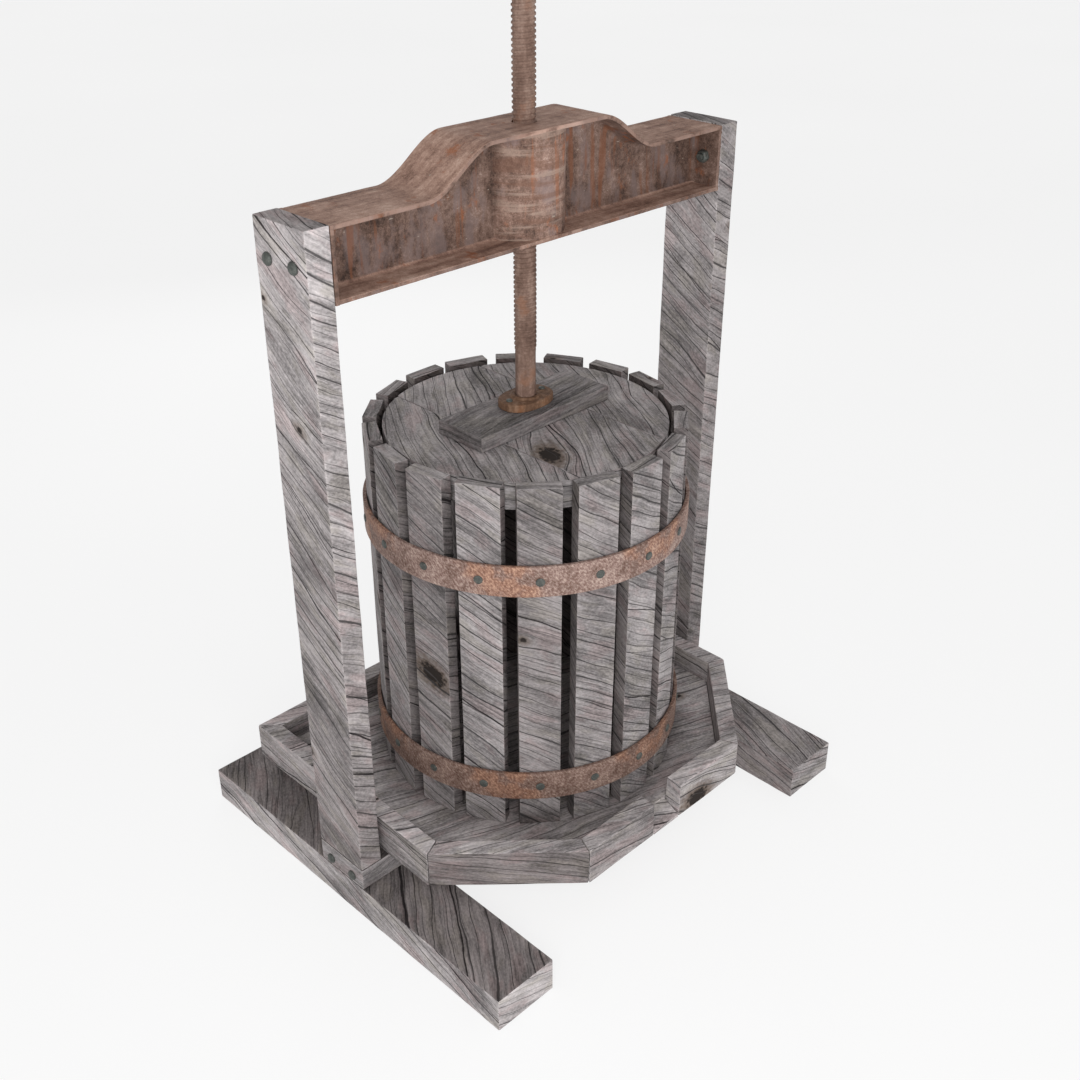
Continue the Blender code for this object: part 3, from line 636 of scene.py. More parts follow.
# a look is the body that a piece rides on, its slot and its material
STAND_WOOD = ("stand", "stand_timber", weathered_wood("stand_wood", 0.35))
TRAY_WOOD = ("stand", "tray_timber", weathered_wood("tray_wood", 0.37, 0.8))
FLOOR_WOOD = ("stand", "tray_timber", weathered_wood("tray_floor_wood", 0.42, 0.9))
STAVE_WOOD = ("basket", "stave_timber", weathered_wood("stave_wood", 0.28))
PLATE_WOOD = ("platen", "plate_timber", weathered_wood("plate_wood", 0.30, 0.85))
BLOCK_WOOD = ("platen", "plate_timber", weathered_wood("block_wood", 0.25, 0.3))
CROSSPIECE_WOOD = ("stand", "stand_timber", BLOCK_WOOD[2])
BEAM_IRON = ("stand", "beam_iron", rusty_casting("casting_rust"))
HEAD_IRON = ("screw", "beam_iron", rusty_steel("head_rust", (62, 44, 37), (100, 73, 61), (142, 112, 96),
                                               (140, 84, 52), (40.0, 40.0, 30.0)))
SCREW_IRON = ("screw", "screw_iron", rusty_steel("screw_rust", (76, 55, 46), (124, 99, 87), (168, 144, 131),
                                                 (138, 96, 72)))
COLLAR_IRON = ("platen", "screw_iron", rusty_steel("collar_rust", (70, 47, 34), (108, 80, 61),
                                                   (150, 120, 98), (128, 82, 50), (150.0, 150.0, 22.0)))
# The lower hoop's rust is a darker copy of the upper's.
HOOP_IRON = {name: ("basket", "hoop_iron", hoop_rust(name + "_hoop_rust", darkening))
             for name, darkening in (("upper", 0.0), ("lower", 0.65))}
DARK_IRON = dark_iron("fastener_iron")
STAND_FASTENER, BASKET_FASTENER, PLATEN_FASTENER = ((body, "fastener_iron", DARK_IRON)
                                                    for body in ("stand", "basket", "platen"))


# ------------------------------------------------------------------ timber
def face_grain(normal, slant, flat):
    """The direction of the grain on a face: seen from outside, an upright face's grain falls to
    the right by slant degrees; a level face's grain lies flat degrees from X."""
    normal = Vector(normal)
    if abs(normal.z) > 0.7:
        along = Vector((math.cos(math.radians(flat)), math.sin(math.radians(flat)), 0))
    else:
        right = Vector((0, 0, 1)).cross(normal).normalized()
        along = right * math.cos(math.radians(slant)) - Vector((0, 0, 1)) * math.sin(math.radians(slant))
    along = (along - normal * along.dot(normal)).normalized()
    return np.array(along), np.array(normal.cross(along))


def board(name, nodes, look, low, high, slant=30.0, flat=45.0, ease=0.0016, wear=0.0007, shape=None,
          seed=1, pitch=BOARD_PITCH, knot=None, stain=(0, 0, 0, 0, 0, 0), point_darkening=None):
    """A worn board filling the box from low to high; shape bends the box's points if given.
    knot is the place of one big knot; the side shares (stain) darken each of the sides
    -X, +X, -Y, +Y, -Z, +Z, mostly as painted shade with some staining; point_darkening gives each
    point's own share of darkening."""
    low, high = np.array(low, float), np.array(high, float)
    size = high - low
    points, quads, sides = box_shell(*(stations(length, ease, pitch) for length in size))
    edge = np.clip(1 - np.sort(np.minimum(points, size - points), axis=1)[:, 1] / (2.4 * ease), 0, 1)
    radius = (ease * (1.0 + 0.45 * rough_noise(points + low, 0.035, seed)))[:, None]
    inner = np.clip(points, radius, size - radius)
    off = points - inner
    points = inner + off / lengths(off) * radius + low
    if shape is not None:
        points = shape(points)
    hollow = wear * pitting(points, 0.045, seed + 20, 3)
    points = points - point_normals(points, quads) * hollow[:, None]

    obj = mesh_object(name, points, quads, sharp=50)
    rng = np.random.default_rng(seed)
    corners = quads.reshape(-1)
    grain = np.zeros((len(corners), 2))
    from_knot = np.full((len(corners), 2), 9.0)
    across = quad_normals(points, quads)
    for side in range(6):
        mine = sides == side
        along, over = face_grain(Vector(across[mine].sum(0)).normalized(), slant, flat)
        pick = np.repeat(mine, 4)
        place = points[corners[pick]]
        grain[pick, 0] = place @ along + rng.uniform(0, 40)
        grain[pick, 1] = place @ over + rng.uniform(0, 40)
        if knot is not None and abs((place[0] - knot) @ np.cross(along, over)) < 0.006:
            from_knot[pick, 0] = (place - knot) @ along
            from_knot[pick, 1] = (place - knot) @ over
    add_map(obj, "grain", grain)
    add_map(obj, "knot", from_knot)
    add_values(obj, "stain", np.array(stain)[sides], "FACE")
    add_values(obj, "shade", np.full(len(points), rng.uniform(-1, 1)))
    add_values(obj, "edge", edge)
    add_values(obj, "point_darkening", point_darkening(points) if point_darkening else np.zeros(len(points)))
    return finish_piece(obj, nodes, look)


# Darker towards the bottom: the share is strength at the bottom and fades to 0 over height.
def darker_towards_bottom(bottom, height, strength):
    return lambda points: strength * np.clip(1 - (points[:, 2] - bottom) / height, 0, 1)


def boxed_board(name, node, look, **settings):
    return board(name, [node], look, *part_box(node), **settings)


def build_stand():
    # Painted shade: the tops of the feet and crosspiece are darkened because the light falls more on the
    # sides than on the tops, and the feet's inner faces under the tray are darkened.
    boxed_board("worn_left_foot", "left_foot", STAND_WOOD, slant=17, flat=55, ease=0.0022, seed=11,
                stain=(0, 0.2, 0, 0, 0, 0.75))
    boxed_board("worn_right_foot", "right_foot", STAND_WOOD, slant=17, flat=72, ease=0.0022, seed=12,
                stain=(0.7, 0, 0, 0, 0, 0.35))
    boxed_board("worn_crosspiece", "base_crosspiece", CROSSPIECE_WOOD, slant=2, flat=4, ease=0.002,
                seed=13, stain=(0, 0, 0, 0, 0, 0.9))
    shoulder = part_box("base_crosspiece")[1].z + GAP
    # Painted shade: the right upright's front face is darkened where the light falls off to the right, and
    # both tops are darkened; both uprights also get darker towards the bottom.
    for seed, node, painted_front_shade in ((14, "left_upright", 0.0), (15, "right_upright", 0.35)):
        low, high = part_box(node)
        board("worn_" + node, [node], STAND_WOOD, (low.x, low.y, shoulder), high, slant=32, flat=70,
              ease=0.0018, seed=seed, stain=(0, 0, painted_front_shade, 0, 0, 0.4), point_darkening=darker_towards_bottom(low.z, 0.7, 0.5))


def outline_of(node, keep=lambda point: True):
    """The convex outline of a CAD node from above, its eased corners squared up again."""
    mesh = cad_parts[node].data
    spots = sorted({(round(v.co.x, 6), round(v.co.y, 6)) for v in mesh.vertices if keep(v.co)})

    def half(order):
        chain = []
        for p in order:
            while len(chain) > 1 and ((chain[-1][0] - chain[-2][0]) * (p[1] - chain[-2][1])
                                      - (chain[-1][1] - chain[-2][1]) * (p[0] - chain[-2][0])) <= 1e-9:
                chain.pop()
            chain.append(p)
        return chain[:-1]

    hull = [Vector(p) for p in half(spots) + half(spots[::-1])]
    edges = [(a, b) for a, b in zip(hull, hull[1:] + hull[:1]) if (b - a).length > 0.008]
    corners = []
    for (a, b), (c, d) in zip(edges, edges[1:] + edges[:1]):
        first, second = b - a, d - c
        corners.append(a + first * ((c - a).cross(second) / first.cross(second)))
    return corners


def quad_shape(corners, low, high):
    """Bends a box's X and Y onto four corners: X from the first to the second, Y to the others."""
    a, b, c, d = (np.array(p) for p in corners)

    def shape(points):
        s = ((points[:, 0] - low[0]) / (high[0] - low[0]))[:, None]
        t = ((points[:, 1] - low[1]) / (high[1] - low[1]))[:, None]
        flat = (a * (1 - s) + b * s) * (1 - t) + (d * (1 - s) + c * s) * t
        return np.column_stack([flat, points[:, 2]])
    return shape


def build_tray():
    boards = ["left", "slant_left", "front_left", "front_right", "slant_right", "right", "back"]
    for k, ending in enumerate(boards):
        node = "tray_rim_" + ending
        corners = outline_of(node)
        sides = [(corners[(i + 1) % 4] - corners[i]).length for i in range(4)]
        first = sides.index(max(sides))
        corners = [corners[(first + i) % 4] for i in range(4)]
        along = corners[1] - corners[0]
        depth = abs(along.normalized().cross(corners[3] - corners[0]))
        bottom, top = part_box(node)[0].z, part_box(node)[1].z
        low, high = (0.0, 0.0, bottom), (along.length, depth, top)
        # The outer face is darkened by its listed share, and the inner face by 0.3 as painted shade.
        board("worn_" + node, [node], TRAY_WOOD, low, high, slant=8, flat=-22, ease=0.0018,
              shape=quad_shape(corners, low, high), seed=31 + k,
              stain=(0, 0, RIM_DARKENING.get(ending, 0.3), 0.3, 0, 0),
              knot=np.array(RIM_KNOT) if ending == "front_right" else None)
    build_tray_floor()


def build_tray_floor():
    node = "tray_floor"
    bottom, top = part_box(node)[0].z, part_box(node)[1].z
    corners = outline_of(node, keep=lambda p: abs(p.x) > 0.05)
    depths, widths = zip(*sorted((p.y, p.x) for p in corners if p.x > 0))
    half = max(widths)

    # Partly painted shade round the basket's foot, partly staining: the floor darkens under the basket and
    # within 35 mm of it.
    def juice_stain(points):
        away = np.hypot(points[:, 0], points[:, 1]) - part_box("lower_hoop")[1].x
        return 0.65 * np.clip(1 - away / 0.035, 0, 1)

    def shape(points):
        width = np.interp(points[:, 1], depths, widths)
        return np.column_stack([points[:, 0] / half * width, points[:, 1:]])

    board("worn_tray_floor", [node], FLOOR_WOOD, (-half, depths[0], bottom), (half, depths[-1], top),
          slant=10, flat=-18, ease=0.0012, shape=shape, seed=41, point_darkening=juice_stain)

    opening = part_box("tray_rim_front_right")[0].x - GAP
    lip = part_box(node)[0].y
    back = depths[0] + 0.003

    def slope(points):
        share = np.clip((back - points[:, 1]) / (back - lip), 0, 1)
        height = (points[:, 2] - bottom) / (top - bottom)
        return np.column_stack([points[:, :2], points[:, 2] - LIP_DROP * share * height])

    board("worn_pour_lip", [], TRAY_WOOD, (-opening, lip, bottom), (opening, back, top - GAP), slant=4,
          flat=-24, ease=0.0015, shape=slope, seed=42, pitch=0.005)


def build_staves():
    """Eighteen staves, each sunk and leaning a little, and each with its own grain."""
    low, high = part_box("stave_01")
    for k in range(STAVE_COUNT):
        turn = np.array(Matrix.Rotation(math.radians(360.0 / STAVE_COUNT * k), 3, "Z"))
        rng = np.random.default_rng(50 + k)
        sink, lean = rng.uniform(0, 0.0012), rng.uniform(-0.0006, 0.0006)

        def shape(points):
            rise = np.clip((points[:, 2] - high.z + 0.05) / 0.05, 0, 1)
            tilt = lean * points[:, 0] / (high.x - low.x)
            lowered = points - np.stack([0 * rise, 0 * rise, rise * (sink + np.abs(lean) + tilt)], axis=1)
            return lowered @ turn.T

        number = k + 1
        node = "stave_%02d" % number
        left, right = WIDER_STAVES.get(number, (0.0, 0.0))
        # Painted shade: the sides between staves and the inner faces are darkened, and so is the lowest 60
        # mm, where the tray and hoop shade the feet, most on stave 17; some outer faces take their listed
        # share.
        board("worn_" + node, [node], STAVE_WOOD, (low.x - left, low.y, low.z),
              (high.x + right, high.y, high.z), slant=rng.uniform(27, 39),
              flat=20.0 * k + rng.uniform(-8, 8), ease=0.0013, wear=0.0005, shape=shape, seed=60 + k,
              knot=np.array(STAVE_KNOT) if number == 15 else None,
              stain=(0.7, 0.7, STAVE_DARKENING.get(number, 0.0), 1, 0, 0),
              point_darkening=darker_towards_bottom(low.z, 0.06, 0.9 if number == 17 else 0.35))


def build_plate():
    """Three boards that make a round plate, and the block across them."""
    looks = {"slant": 6, "ease": 0.0011, "wear": 0.0004}
    low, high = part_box("plate_board_middle")
    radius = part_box("plate_board_right")[1].x

    def round_ends(points):
        half = np.sqrt(radius ** 2 - points[:, 0] ** 2)
        return np.column_stack([points[:, 0], points[:, 1] / high.y * half, points[:, 2]])

    board("worn_plate_middle", ["plate_board_middle"], PLATE_WOOD, low, high, flat=57, shape=round_ends,
          seed=91, knot=np.array(PLATE_KNOT), **looks)
    for side, ending in ((-1, "left"), (1, "right")):
        node = "plate_board_" + ending
        low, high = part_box(node)
        joint = min(abs(low.x), abs(high.x))
        depth = radius - joint
        reach = math.sqrt(radius ** 2 - joint ** 2) - 0.002

        def round_side(points):
            arc_x = np.sqrt(np.maximum(radius ** 2 - (points[:, 1] * reach / high.y) ** 2, 0))
            share = (np.abs(points[:, 0]) - joint) / depth
            return np.column_stack([side * (joint + share * (arc_x - joint)),
                                    points[:, 1] * reach / high.y, points[:, 2]])

        board("worn_plate_" + ending, [node], PLATE_WOOD, low, high, flat=60, shape=round_side,
              seed=91 + side, **looks)
    # The block's sides are darker, and its top is darkened as painted shade.
    boxed_board("worn_cross_block", "cross_block", BLOCK_WOOD, slant=-4, flat=8, ease=0.0016, seed=95,
                stain=(0.5, 0.5, 0.5, 0.5, 0, 0.15))


# ------------------------------------------------------------------ hoops and fasteners
def build_hoops():
    for name in ("upper", "lower"):
        low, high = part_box(name + "_hoop")
        build_hoop(name, high.x, low.z, high.z)
        build_rivets(name, high.x - 0.0002, (low.z + high.z) / 2)


def build_hoop(name, outer, low, high):
    """A rolled band with rounded edges, a little uneven from the hammer."""
    ease = 0.0009
    inner = outer - HOOP_THICKNESS
    section = (arc((outer - ease, low + ease), ease, -90, 0, 3) + [(outer, (low + high) / 2)]
               + arc((outer - ease, high - ease), ease, 0, 90, 3)
               + arc((inner + ease, high - ease), ease, 90, 180, 3)
               + arc((inner + ease, low + ease), ease, 180, 270, 3))
    count, segments = len(section), 180
    turns = 2 * np.pi * np.arange(segments) / segments
    radii, heights = np.array(section).T
    points = np.stack([np.outer(np.cos(turns), radii), np.outer(np.sin(turns), radii),
                       np.tile(heights, (segments, 1))], axis=2).reshape(-1, 3)
    dent = pitting(points, 0.04, 7)
    flat = np.clip((heights - low) * (high - heights) / 0.0001, 0, 1)
    squeeze = np.tile(flat, segments) * 0.00025 * dent
    points[:, :2] *= (1 - squeeze / np.linalg.norm(points[:, :2], axis=1))[:, None]
    middle = (low + high) / 2
    points[:, 2] = middle + (points[:, 2] - middle) * (1 - 0.02 * dent)

    girths = [0.0]
    for k in range(count):
        girths.append(girths[-1] + math.dist(section[k], section[(k + 1) % count]))
    around = 2 * math.pi / segments * outer
    faces, grain = [], []
    for k in range(segments):
        here, there = k * count, (k + 1) % segments * count
        for i in range(count):
            j = (i + 1) % count
            faces.append((here + i, there + i, there + j, here + j))
            rise = [girths[i] + 3.0, girths[-1 if j == 0 else j] + 3.0]
            grain += [(k * around, rise[0]), ((k + 1) * around, rise[0]), ((k + 1) * around, rise[1]),
                      (k * around, rise[1])]
    obj = mesh_object("rusty_" + name + "_hoop", points, faces, sharp=50)
    add_map(obj, "grain", np.array(grain))
    finish_piece(obj, [name + "_hoop"], HOOP_IRON[name])


def build_rivets(name, seat, height):
    """Flat-domed heads outside the hoop and small clenched burrs inside the staves."""
    inner_face = abs(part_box("stave_01")[1].y)
    rise = RIVET_HEAD_HEIGHT
    for k in range(STAVE_COUNT):
        angle = math.radians(-90.0 + 360.0 / STAVE_COUNT * k)
        place = pointing((math.cos(angle), math.sin(angle), 0), (0, 0, height))
        size = RIVET_HEAD_RADIUS * np.random.default_rng(200 + k).uniform(0.95, 1.04)
        head = [(0, -0.012), (0.0024, -0.012), (0.0024, -0.0005), (size * 0.94, -0.0005), (size, 0.0003),
                (size * 0.96, rise * 0.55), (size * 0.80, rise * 0.86), (size * 0.52, rise), (0, rise * 0.97)]
        burr = [(0, -0.0011), (0.0022, -0.0010), (0.0031, -0.0003), (0.0029, 0.0020), (0, 0.0020)]
        for kind, profile, base, segments in (("rivet", head, seat, 20), ("burr", burr, inner_face, 14)):
            turned_piece("%s_%s_%02d" % (kind, name, k + 1), [], BASKET_FASTENER, raised(profile, base),
                         segments, place)


def domed_bolt(name, node, seed, head_radius, head_height):
    """A round-headed bolt whose head is on the outer face of an upright."""
    side, inner, outer, centre = lying(node)
    face = outer - head_height
    profile = [(0, inner), (BOLT_SHANK, inner), (BOLT_SHANK, face + 0.0002),
               (head_radius * 0.97, face + 0.0002)]
    for t in np.radians(np.linspace(8, 82, 7)):
        rise = face + 0.0004 + (head_height - 0.0004) * math.sin(t)
        profile.append((head_radius * math.cos(t) ** 0.8, rise))
    profile.append((0, outer))
    points, faces = turned(profile, 28, pointing((side, 0, 0), centre))
    wobble = rough_noise(points, 0.006, seed, 2)[:, None] * 0.00012
    away = points - np.array([side * (face - 0.004), centre[1], centre[2]])
    points = points - away / lengths(away) * (0.00012 + wobble)
    finish_piece(mesh_object(name, points, faces), [node], STAND_FASTENER)


def build_bolts():
    for k, ending in enumerate(["left_front", "left_back", "right_front", "right_back"]):
        domed_bolt("round_bolt_top_" + ending, "beam_bolt_" + ending, 300 + k, 0.0076, 0.0050)
        domed_bolt("round_bolt_base_" + ending, "base_bolt_" + ending, 310 + k, 0.0070, 0.0045)
        build_nut("hex_nut_" + ending, "beam_nut_" + ending, 320 + k)


def build_nut(name, node, seed):
    """A worn hexagon nut, chamfered on its free face, round a bolt end."""
    side, near, far, centre = lying(node)
    low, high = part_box(node)
    radius = (high.z - low.z) / 2
    segments = 48
    place = pointing((side, 0, 0), centre)
    # the radii 1, 2 and 3 only mark the rings that the hexagon's own radii replace below
    points, faces = turned([(0.0041, far), (1.0, far), (2.0, near + 0.0026), (3.0, near + 0.0010),
                            (0.0055, near), (0.0041, near + 0.0004)], segments, place)
    turn_back, origin = np.array(place)[:3, :3], np.array(place)[:3, 3]
    twist = np.random.default_rng(seed).uniform(0, math.pi / 3)
    local = (points - origin) @ turn_back
    reach = np.hypot(local[:, 0], local[:, 1])
    turn = np.arctan2(local[:, 1], local[:, 0])
    apothem = radius * math.cos(math.pi / 6) * 0.985
    hexagon = apothem / np.cos((turn + twist) % (math.pi / 3) - math.pi / 6)
    hexagon = np.minimum(hexagon, radius * 0.97)
    chamfered = np.minimum(hexagon, apothem * 0.97)
    target = np.where(reach > 2.5, chamfered, np.where(reach > 0.5, hexagon, reach))
    local[:, :2] *= (target / reach)[:, None]
    points = local @ turn_back.T + origin
    obj = mesh_object(name, points, faces + band(segments * 5, 0, segments), sharp=35)
    recalc(obj)
    finish_piece(obj, [node], STAND_FASTENER)


# ------------------------------------------------------------------ crossbeam
def arch_height(x):
    """Top of the beam at x: level ends, a smooth S up to a flat crown."""
    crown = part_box("crossbeam")[1].z
    t = np.clip((BEAM_FOOT_X - np.abs(x)) / (BEAM_FOOT_X - BEAM_FLAT_X), 0, 1)
    return BEAM_END_TOP + (crown - BEAM_END_TOP) * t * t * (3 - 2 * t)


def pocket_path(skin, edge, fillet, depth):
    """From the outer edge over the rim and down into a pocket: (distance in, depth behind)."""
    turns = np.radians(np.linspace(0, 90, 5))
    path = [(edge * (1 - math.cos(t)), edge * (1 - math.sin(t))) for t in turns]
    path += [(skin - edge + edge * math.sin(t), edge * (1 - math.cos(t))) for t in turns]
    path += [(skin, depth * 0.35), (skin, depth * 0.65)]
    path += [(skin + fillet * (1 - math.cos(t)), depth - fillet * (1 - math.sin(t))) for t in turns]
    return np.array(path)


def beam_front(low, high, half_depth):
    """The beam's front as a grid of points: x runs along it, the second index goes up."""
    fillet = 0.006
    web_depth = half_depth - BEAM_WEB / 2
    path = pocket_path(BEAM_SKIN, 0.0012, fillet, web_depth)
    inset = BEAM_SKIN + fillet
    spread = np.linspace(low.x + inset, high.x - inset, 122)[1:-1]
    crowd = [s * (BOSS_HALF_X + d) for s in (-1, 1) for d in (-0.004, -0.0025, -0.0015, 0.0, 0.0015, 0.003)]
    inside = np.sort(np.concatenate([spread, crowd]))
    x = np.concatenate([low.x + path[:, 0], inside, (high.x - path[:, 0])[::-1]])
    x_depth = np.concatenate([path[:, 1], np.full(len(inside), 1.0), path[::-1, 1]])
    top = arch_height(x)
    slope = (arch_height(x + 0.001) - arch_height(x - 0.001)) / 0.002
    thicken = np.sqrt(1 + slope ** 2)
    floor, roof = low.z + inset, top - inset * thicken
    grid = [(np.full(len(x), low.z + s), d) for s, d in path]
    grid += [(floor + (roof - floor) * share, 1.0) for share in np.linspace(0, 1, 16)[1:-1]]
    grid += [(top - s * thicken, d) for s, d in path[::-1]]
    z = np.stack([g[0] for g in grid], axis=1)
    z_depth = np.array([g[1] for g in grid])
    depth = np.minimum(np.minimum(x_depth[:, None], z_depth[None, :]), web_depth)
    swell = np.sqrt(np.clip(1 - (x / BOSS_HALF_X) ** 2, 0, 1))
    boss = np.where(np.abs(x) < BOSS_HALF_X, half_depth - BOSS_HALF_Y * swell, half_depth)[:, None]
    blend = np.minimum(0.007, 0.5 * depth) + 1e-9
    h = np.clip(0.5 + 0.5 * (boss - depth) / blend, 0, 1)
    depth = boss * (1 - h) + depth * h - blend * h * (1 - h)
    return np.broadcast_to(x[:, None], z.shape), z, depth


def build_crossbeam():
    """An I-shaped casting, arched in the middle, with a boss for the screw."""
    low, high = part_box("crossbeam")
    half_depth = high.y
    x, z, depth = beam_front(low, high, half_depth)
    columns, rows = x.shape
    front = np.stack([x, depth - half_depth, z], axis=2)
    back = front * [1, -1, 1]
    points = [front.reshape(-1, 3), back.reshape(-1, 3)]
    front_id = np.arange(columns * rows).reshape(columns, rows)
    back_id = front_id + columns * rows

    # the sleeve round the casting: points from the front's border across to the back's
    border = [(i, 0) for i in range(columns)] + [(columns - 1, j) for j in range(1, rows)]
    border += [(i, rows - 1) for i in range(columns - 2, -1, -1)] + [(0, j) for j in range(rows - 2, 0, -1)]
    near = np.array([front[b] for b in border])
    far = np.array([back[b] for b in border])
    start = 2 * columns * rows
    across = [np.array([front_id[b] for b in border])]
    for share in np.linspace(0, 1, 14)[1:-1]:
        points.append(near * (1 - share) + far * share)
        across.append(start + np.arange(len(border)))
        start += len(border)
    across.append(np.array([back_id[b] for b in border]))
    sleeve = np.stack(across, axis=1)
    faces = [grid_quads(front_id), grid_quads(back_id, True),
             grid_quads(np.concatenate([sleeve, sleeve[:1]]), True)]
    obj = mesh_object("arched_crossbeam", np.concatenate(points), np.concatenate(faces), sharp=45)
    recalc(obj, weld=True)
    bottom, top, bore = low.z - 0.01, high.z + 0.01, SCREW_RADIUS + GAP
    cut(obj, mesh_object("bore tool", *turned([(0, bottom), (bore, bottom), (bore, top), (0, top)], 48)))

    mesh = obj.data
    where, normals = np.zeros(len(mesh.vertices) * 3), np.zeros(len(mesh.vertices) * 3)
    mesh.vertices.foreach_get("co", where)
    mesh.vertices.foreach_get("normal", normals)
    where = where.reshape(-1, 3)
    where = where - normals.reshape(-1, 3) * (pitting(where, 0.02, 401, 3) * 0.0004)[:, None]
    mesh.vertices.foreach_set("co", where.ravel())
    mesh.update()
    x, y, z = where.T
    skin = BEAM_SKIN + 0.0008
    on_frame = (z < low.z + skin) | (z > arch_height(x) - 1.3 * skin) | (np.abs(x) > high.x - skin)
    on_rim = on_frame & (np.abs(y) > half_depth - 0.0012)
    # Rim share, 1 on the upper rims and 0.3 on the lower: partly rubbed wear, partly a painted highlight.
    add_values(obj, "rim", np.where(z > BEAM_END_TOP - 2 * BEAM_SKIN, 1.0, 0.3) * on_rim)
    mesh.shade_smooth()
    mesh.set_sharp_from_angle(angle=math.radians(45))
    finish_piece(obj, ["crossbeam"], BEAM_IRON)


# ------------------------------------------------------------------ screw, collar and handle
def build_screw():
    """Foot, smooth neck and a right-hand thread up to the head."""
    low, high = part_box("press_screw")
    foot_radius = high.x
    head_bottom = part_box("screw_head")[0].z
    segments = 40
    turns = 2 * np.pi * np.arange(segments) / segments
    start, stop = NECK_TOP - 0.002, head_bottom - GAP
    heights = np.linspace(start, stop, round((stop - start) / THREAD_PITCH * 10))
    phase = (heights[:, None] / THREAD_PITCH - turns[None, :] / (2 * np.pi)) % 1.0
    flank = np.clip((0.5 - np.abs(phase - 0.5) - 0.17) / 0.16, 0, 1)
    ridge = flank * flank * (3 - 2 * flank)
    grow = np.clip((heights - start) / 0.010, 0, 1)[:, None]
    root = NECK_RADIUS + (SCREW_RADIUS - THREAD_DEPTH - NECK_RADIUS) * grow
    radius = root + THREAD_DEPTH * grow * ridge
    points = np.stack([radius * np.cos(turns), radius * np.sin(turns),
                       np.broadcast_to(heights[:, None], radius.shape)], axis=2).reshape(-1, 3)
    points[:, :2] *= (1 - 0.016 * pitting(points, 0.012, 77) * np.repeat(grow[:, 0], segments))[:, None]

    foot_low, foot_high = low.z, low.z + 0.011
    profile = [(0, foot_low), (foot_radius - 0.0005, foot_low), (foot_radius, foot_low + 0.0005),
               (foot_radius, foot_high - 0.0005), (foot_radius - 0.0005, foot_high), (NECK_RADIUS, foot_high)]
    profile += [(NECK_RADIUS, z) for z in np.linspace(foot_high + 0.004, start - 0.004, 14)]
    lower, faces = turned(profile, segments)
    last = len(lower) - segments
    for r in range(len(heights)):
        faces += band(last + r * segments, last + (r + 1) * segments, segments)
    top = last + len(heights) * segments
    faces.append(tuple(range(top, top + segments)))
    obj = mesh_object("threaded_screw", np.concatenate([lower, points]), faces, sharp=60)
    recalc(obj)
    finish_piece(obj, ["press_screw"], SCREW_IRON)
    build_screw_top(head_bottom, high.z)


def eye_tool():
    """The rod-shaped tool that cuts the turning bar's eye."""
    low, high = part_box("turning_bar")
    radius = (high.z - low.z) / 2 + GAP
    place = pointing((1, 0, 0), (0, 0, (low.z + high.z) / 2))
    profile = [(0, -0.06), (radius, -0.06), (radius, 0.06), (0, 0.06)]
    return mesh_object("eye tool", *turned(profile, 32, place))


def build_screw_top(bottom, top):
    radius = SPIGOT_RADIUS
    profile = [(0, bottom - 0.001), (radius, bottom - 0.001), (radius, bottom + 0.012), (radius, top - 0.012),
               (radius, top - 0.002), (radius - 0.0008, top - 0.0007), (radius - 0.002, top), (0, top)]
    obj = mesh_object("screw_spigot", *turned(profile, 40))
    cut(obj, eye_tool())
    finish_piece(obj, [], SCREW_IRON)


def build_head():
    """The forged head on top of the screw, pierced for the turning bar."""
    low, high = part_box("screw_head")
    radius = high.x
    middle = (low.z + high.z) / 2
    bore = SPIGOT_RADIUS + GAP
    profile = [(bore, low.z + 0.0008), (bore + 0.0008, low.z)]
    profile += arc((radius - 0.0075, low.z + 0.0075), 0.0075, -88, -2, 8)
    profile += [(radius - 0.0004, middle - 0.012), (radius - 0.0009, middle),
                (radius - 0.0004, middle + 0.012)]
    profile += arc((radius - 0.0075, high.z - 0.0075), 0.0075, 2, 88, 8)
    profile += [(bore + 0.0015, high.z), (bore, high.z - 0.0015)]
    segments = 48
    points, faces = turned(profile, segments)
    faces += band(len(points) - segments, 0, segments)
    points[:, :2] *= 1 - 0.006 * pitting(points, 0.012, 88)[:, None]
    points[:, :2] *= np.where(np.hypot(points[:, 0], points[:, 1]) < bore, 1.006, 1.0)[:, None]
    obj = mesh_object("forged_head", points, faces)
    recalc(obj)
    cut(obj, eye_tool())
    finish_piece(obj, ["screw_head"], HEAD_IRON)


def build_handle():
    """The turning bar and its ball ends."""
    low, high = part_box("turning_bar")
    radius, length = (high.z - low.z) / 2, high.x
    middle = (low.z + high.z) / 2
    tip = radius * 0.72
    profile = [(0, -length), (tip, -length)]
    for h in np.linspace(-length + 0.001, length - 0.001, 70):
        profile.append((tip if abs(h) > length - 0.0165 else radius * (0.992 + 0.006 * math.sin(h * 90)), h))
    profile += [(tip, length), (0, length)]
    turned_piece("worn_turning_bar", ["turning_bar"], SCREW_IRON, profile, 28,
                 pointing((1, 0, 0), (0, 0, middle)))
    for ending in ("left", "right"):
        node = "bar_knob_" + ending
        low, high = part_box(node)
        side, near, far, _ = lying(node)
        ball = (high.z - low.z) / 2
        centre = far - ball
        opening = math.degrees(math.acos(min(1.0, (centre - near) / ball)))
        collar = ball * math.sin(math.radians(opening))
        profile = [(0, near + 0.004), (radius * 0.74, near + 0.004), (radius * 0.76, near),
                   (collar - 0.001, near)]
        profile += arc((0, centre), ball, -90 + opening + 3, 86, 22) + [(0, far)]
        points, faces = turned(profile, 36, pointing((side, 0, 0), (0, 0, middle)))
        heart = np.array([side * centre, 0, middle])
        points = heart + (points - heart) * (1 - 0.018 * pitting(points, 0.010, 97 + side))[:, None]
        finish_piece(mesh_object("cast_knob_" + ending, points, faces), [node], HEAD_IRON)


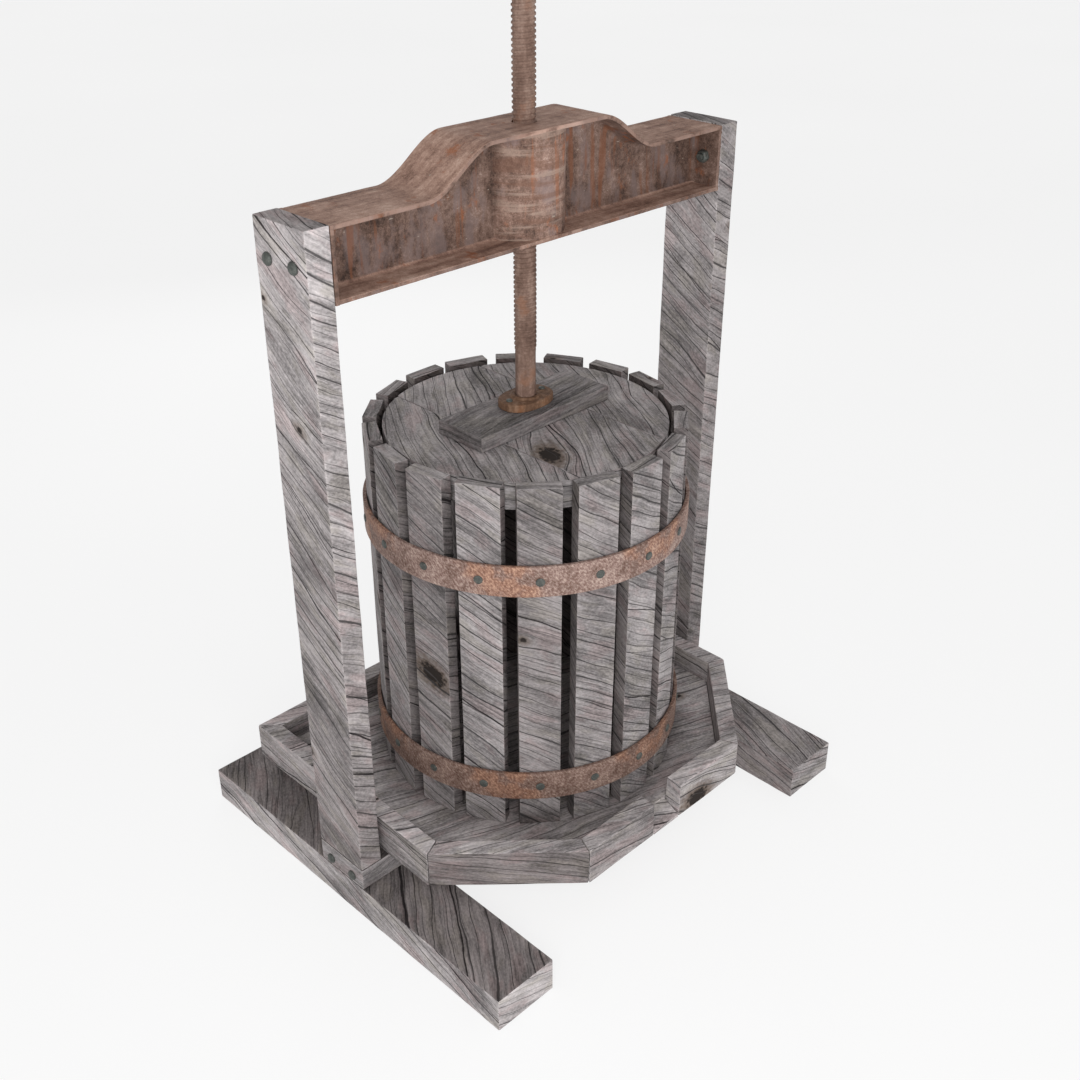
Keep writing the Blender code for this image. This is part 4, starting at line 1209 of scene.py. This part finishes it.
def build_collar():
    """The oval flange over the screw's foot, with a raised ring round the neck."""
    low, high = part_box("thrust_collar")
    bore, ring = NECK_RADIUS + GAP, 0.0185
    segments = 72
    turns = 2 * np.pi * np.arange(segments) / segments
    cos, sin = np.cos(turns), np.sin(turns)
    oval = np.stack([high.x * np.sign(cos) * np.abs(cos) ** 0.85,
                     high.y * np.sign(sin) * np.abs(sin) ** 0.85], axis=1)
    reach = np.linalg.norm(oval, axis=1)
    unit = oval / reach[:, None]
    around = {"oval": reach, "blend": reach * 0.5 + ring * 0.5, "ring": np.full(segments, ring),
              "bore": np.full(segments, bore)}
    ease, flange = 0.0018, COLLAR_FLANGE_TOP
    rows = [("oval", -0.0006, low.z), ("oval", 0.0, low.z + 0.0006), ("oval", 0.0, flange - ease)]
    for t in np.radians([22, 45, 68, 90]):
        rows.append(("oval", -ease * (1 - math.cos(t)), flange - ease * (1 - math.sin(t))))
    rows += [("blend", 0.0, flange), ("ring", 0.0022, flange + 0.0001), ("ring", 0.0008, flange + 0.0005),
             ("ring", 0.0, flange + 0.0014), ("ring", -0.0004, high.z - 0.0004), ("ring", -0.0012, high.z),
             ("bore", 0.0010, high.z), ("bore", 0.0003, high.z - 0.0004), ("bore", 0.0, high.z - 0.0012),
             ("bore", 0.0, low.z)]
    points, faces = [], []
    for r, (kind, shift, height) in enumerate(rows):
        points.append(np.column_stack([unit * (around[kind] + shift)[:, None], np.full(segments, height)]))
        faces += band(r * segments, (r + 1) % len(rows) * segments, segments)
    obj = mesh_object("oval_collar", np.concatenate(points), faces)
    recalc(obj)
    finish_piece(obj, ["thrust_collar"], COLLAR_IRON)
    for ending in ("left", "right"):
        node = "collar_screw_" + ending
        low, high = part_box(node)
        radius = (high.x - low.x) / 2
        head = [(0.0021, 0.0001), (radius * 0.96, 0.0001), (radius, 0.0006), (radius * 0.93, 0.0014),
                (radius * 0.72, 0.0021)]
        profile = [(0, low.z), (0.0021, low.z)] + raised(head, flange)
        profile += [(radius * 0.40, high.z - 0.0001), (0, high.z)]
        turned_piece("round_" + node, [node], PLATEN_FASTENER, profile, 24,
                     Matrix.Translation(((low.x + high.x) / 2, 0, 0)))


# ------------------------------------------------------------------ floor, lights and camera
def area_light(name, spot, target, size, power):
    data = bpy.data.lights.new(name, "AREA")
    data.shape = "RECTANGLE"
    data.size, data.size_y = size
    data.energy = power
    lamp = bpy.data.objects.new(name, data)
    lamp.location = spot
    lamp.rotation_euler = (Vector(target) - Vector(spot)).to_track_quat("-Z", "Y").to_euler()
    bpy.context.scene.collection.objects.link(lamp)


def build_stage():
    mesh = bpy.data.meshes.new("floor")
    corners = [(x * FLOOR_REACH, y * FLOOR_REACH, -0.0004) for x, y in ((-1, -1), (1, -1), (1, 1), (-1, 1))]
    mesh.from_pydata(corners, [], [(0, 1, 2, 3)])
    floor = bpy.data.objects.new("floor", mesh)
    mesh.materials.append(pale_floor("floor"))
    bpy.context.scene.collection.objects.link(floor)

    bpy.context.scene.world = studio_world()
    area_light("key", (-1.05, -1.15, 1.1), (-0.2, 0, 0.55), (1.0, 0.8), 15)
    area_light("front fill", (0.5, -2.6, 0.8), (0, 0, 0.5), (1.6, 1.2), 3)
    area_light("back fill", (1.1, 1.9, 1.2), (0, 0, 0.5), (1.4, 1.2), 7)

    camera_data = bpy.data.cameras.new("camera")
    camera_data.angle = math.radians(CAMERA_FIELD)
    camera_data.clip_end = 200
    camera = bpy.data.objects.new("camera", camera_data)
    camera.location = CAMERA_SPOT
    camera.rotation_euler = [math.radians(a) for a in CAMERA_TURN]
    bpy.context.scene.collection.objects.link(camera)
    bpy.context.scene.camera = camera
    bpy.context.scene.view_settings.view_transform = "Standard"


# ------------------------------------------------------------------ the whole press
build_stand()
build_tray()
build_staves()
build_hoops()
build_plate()
build_collar()
build_screw()
build_head()
build_handle()
build_crossbeam()
build_bolts()
build_stage()
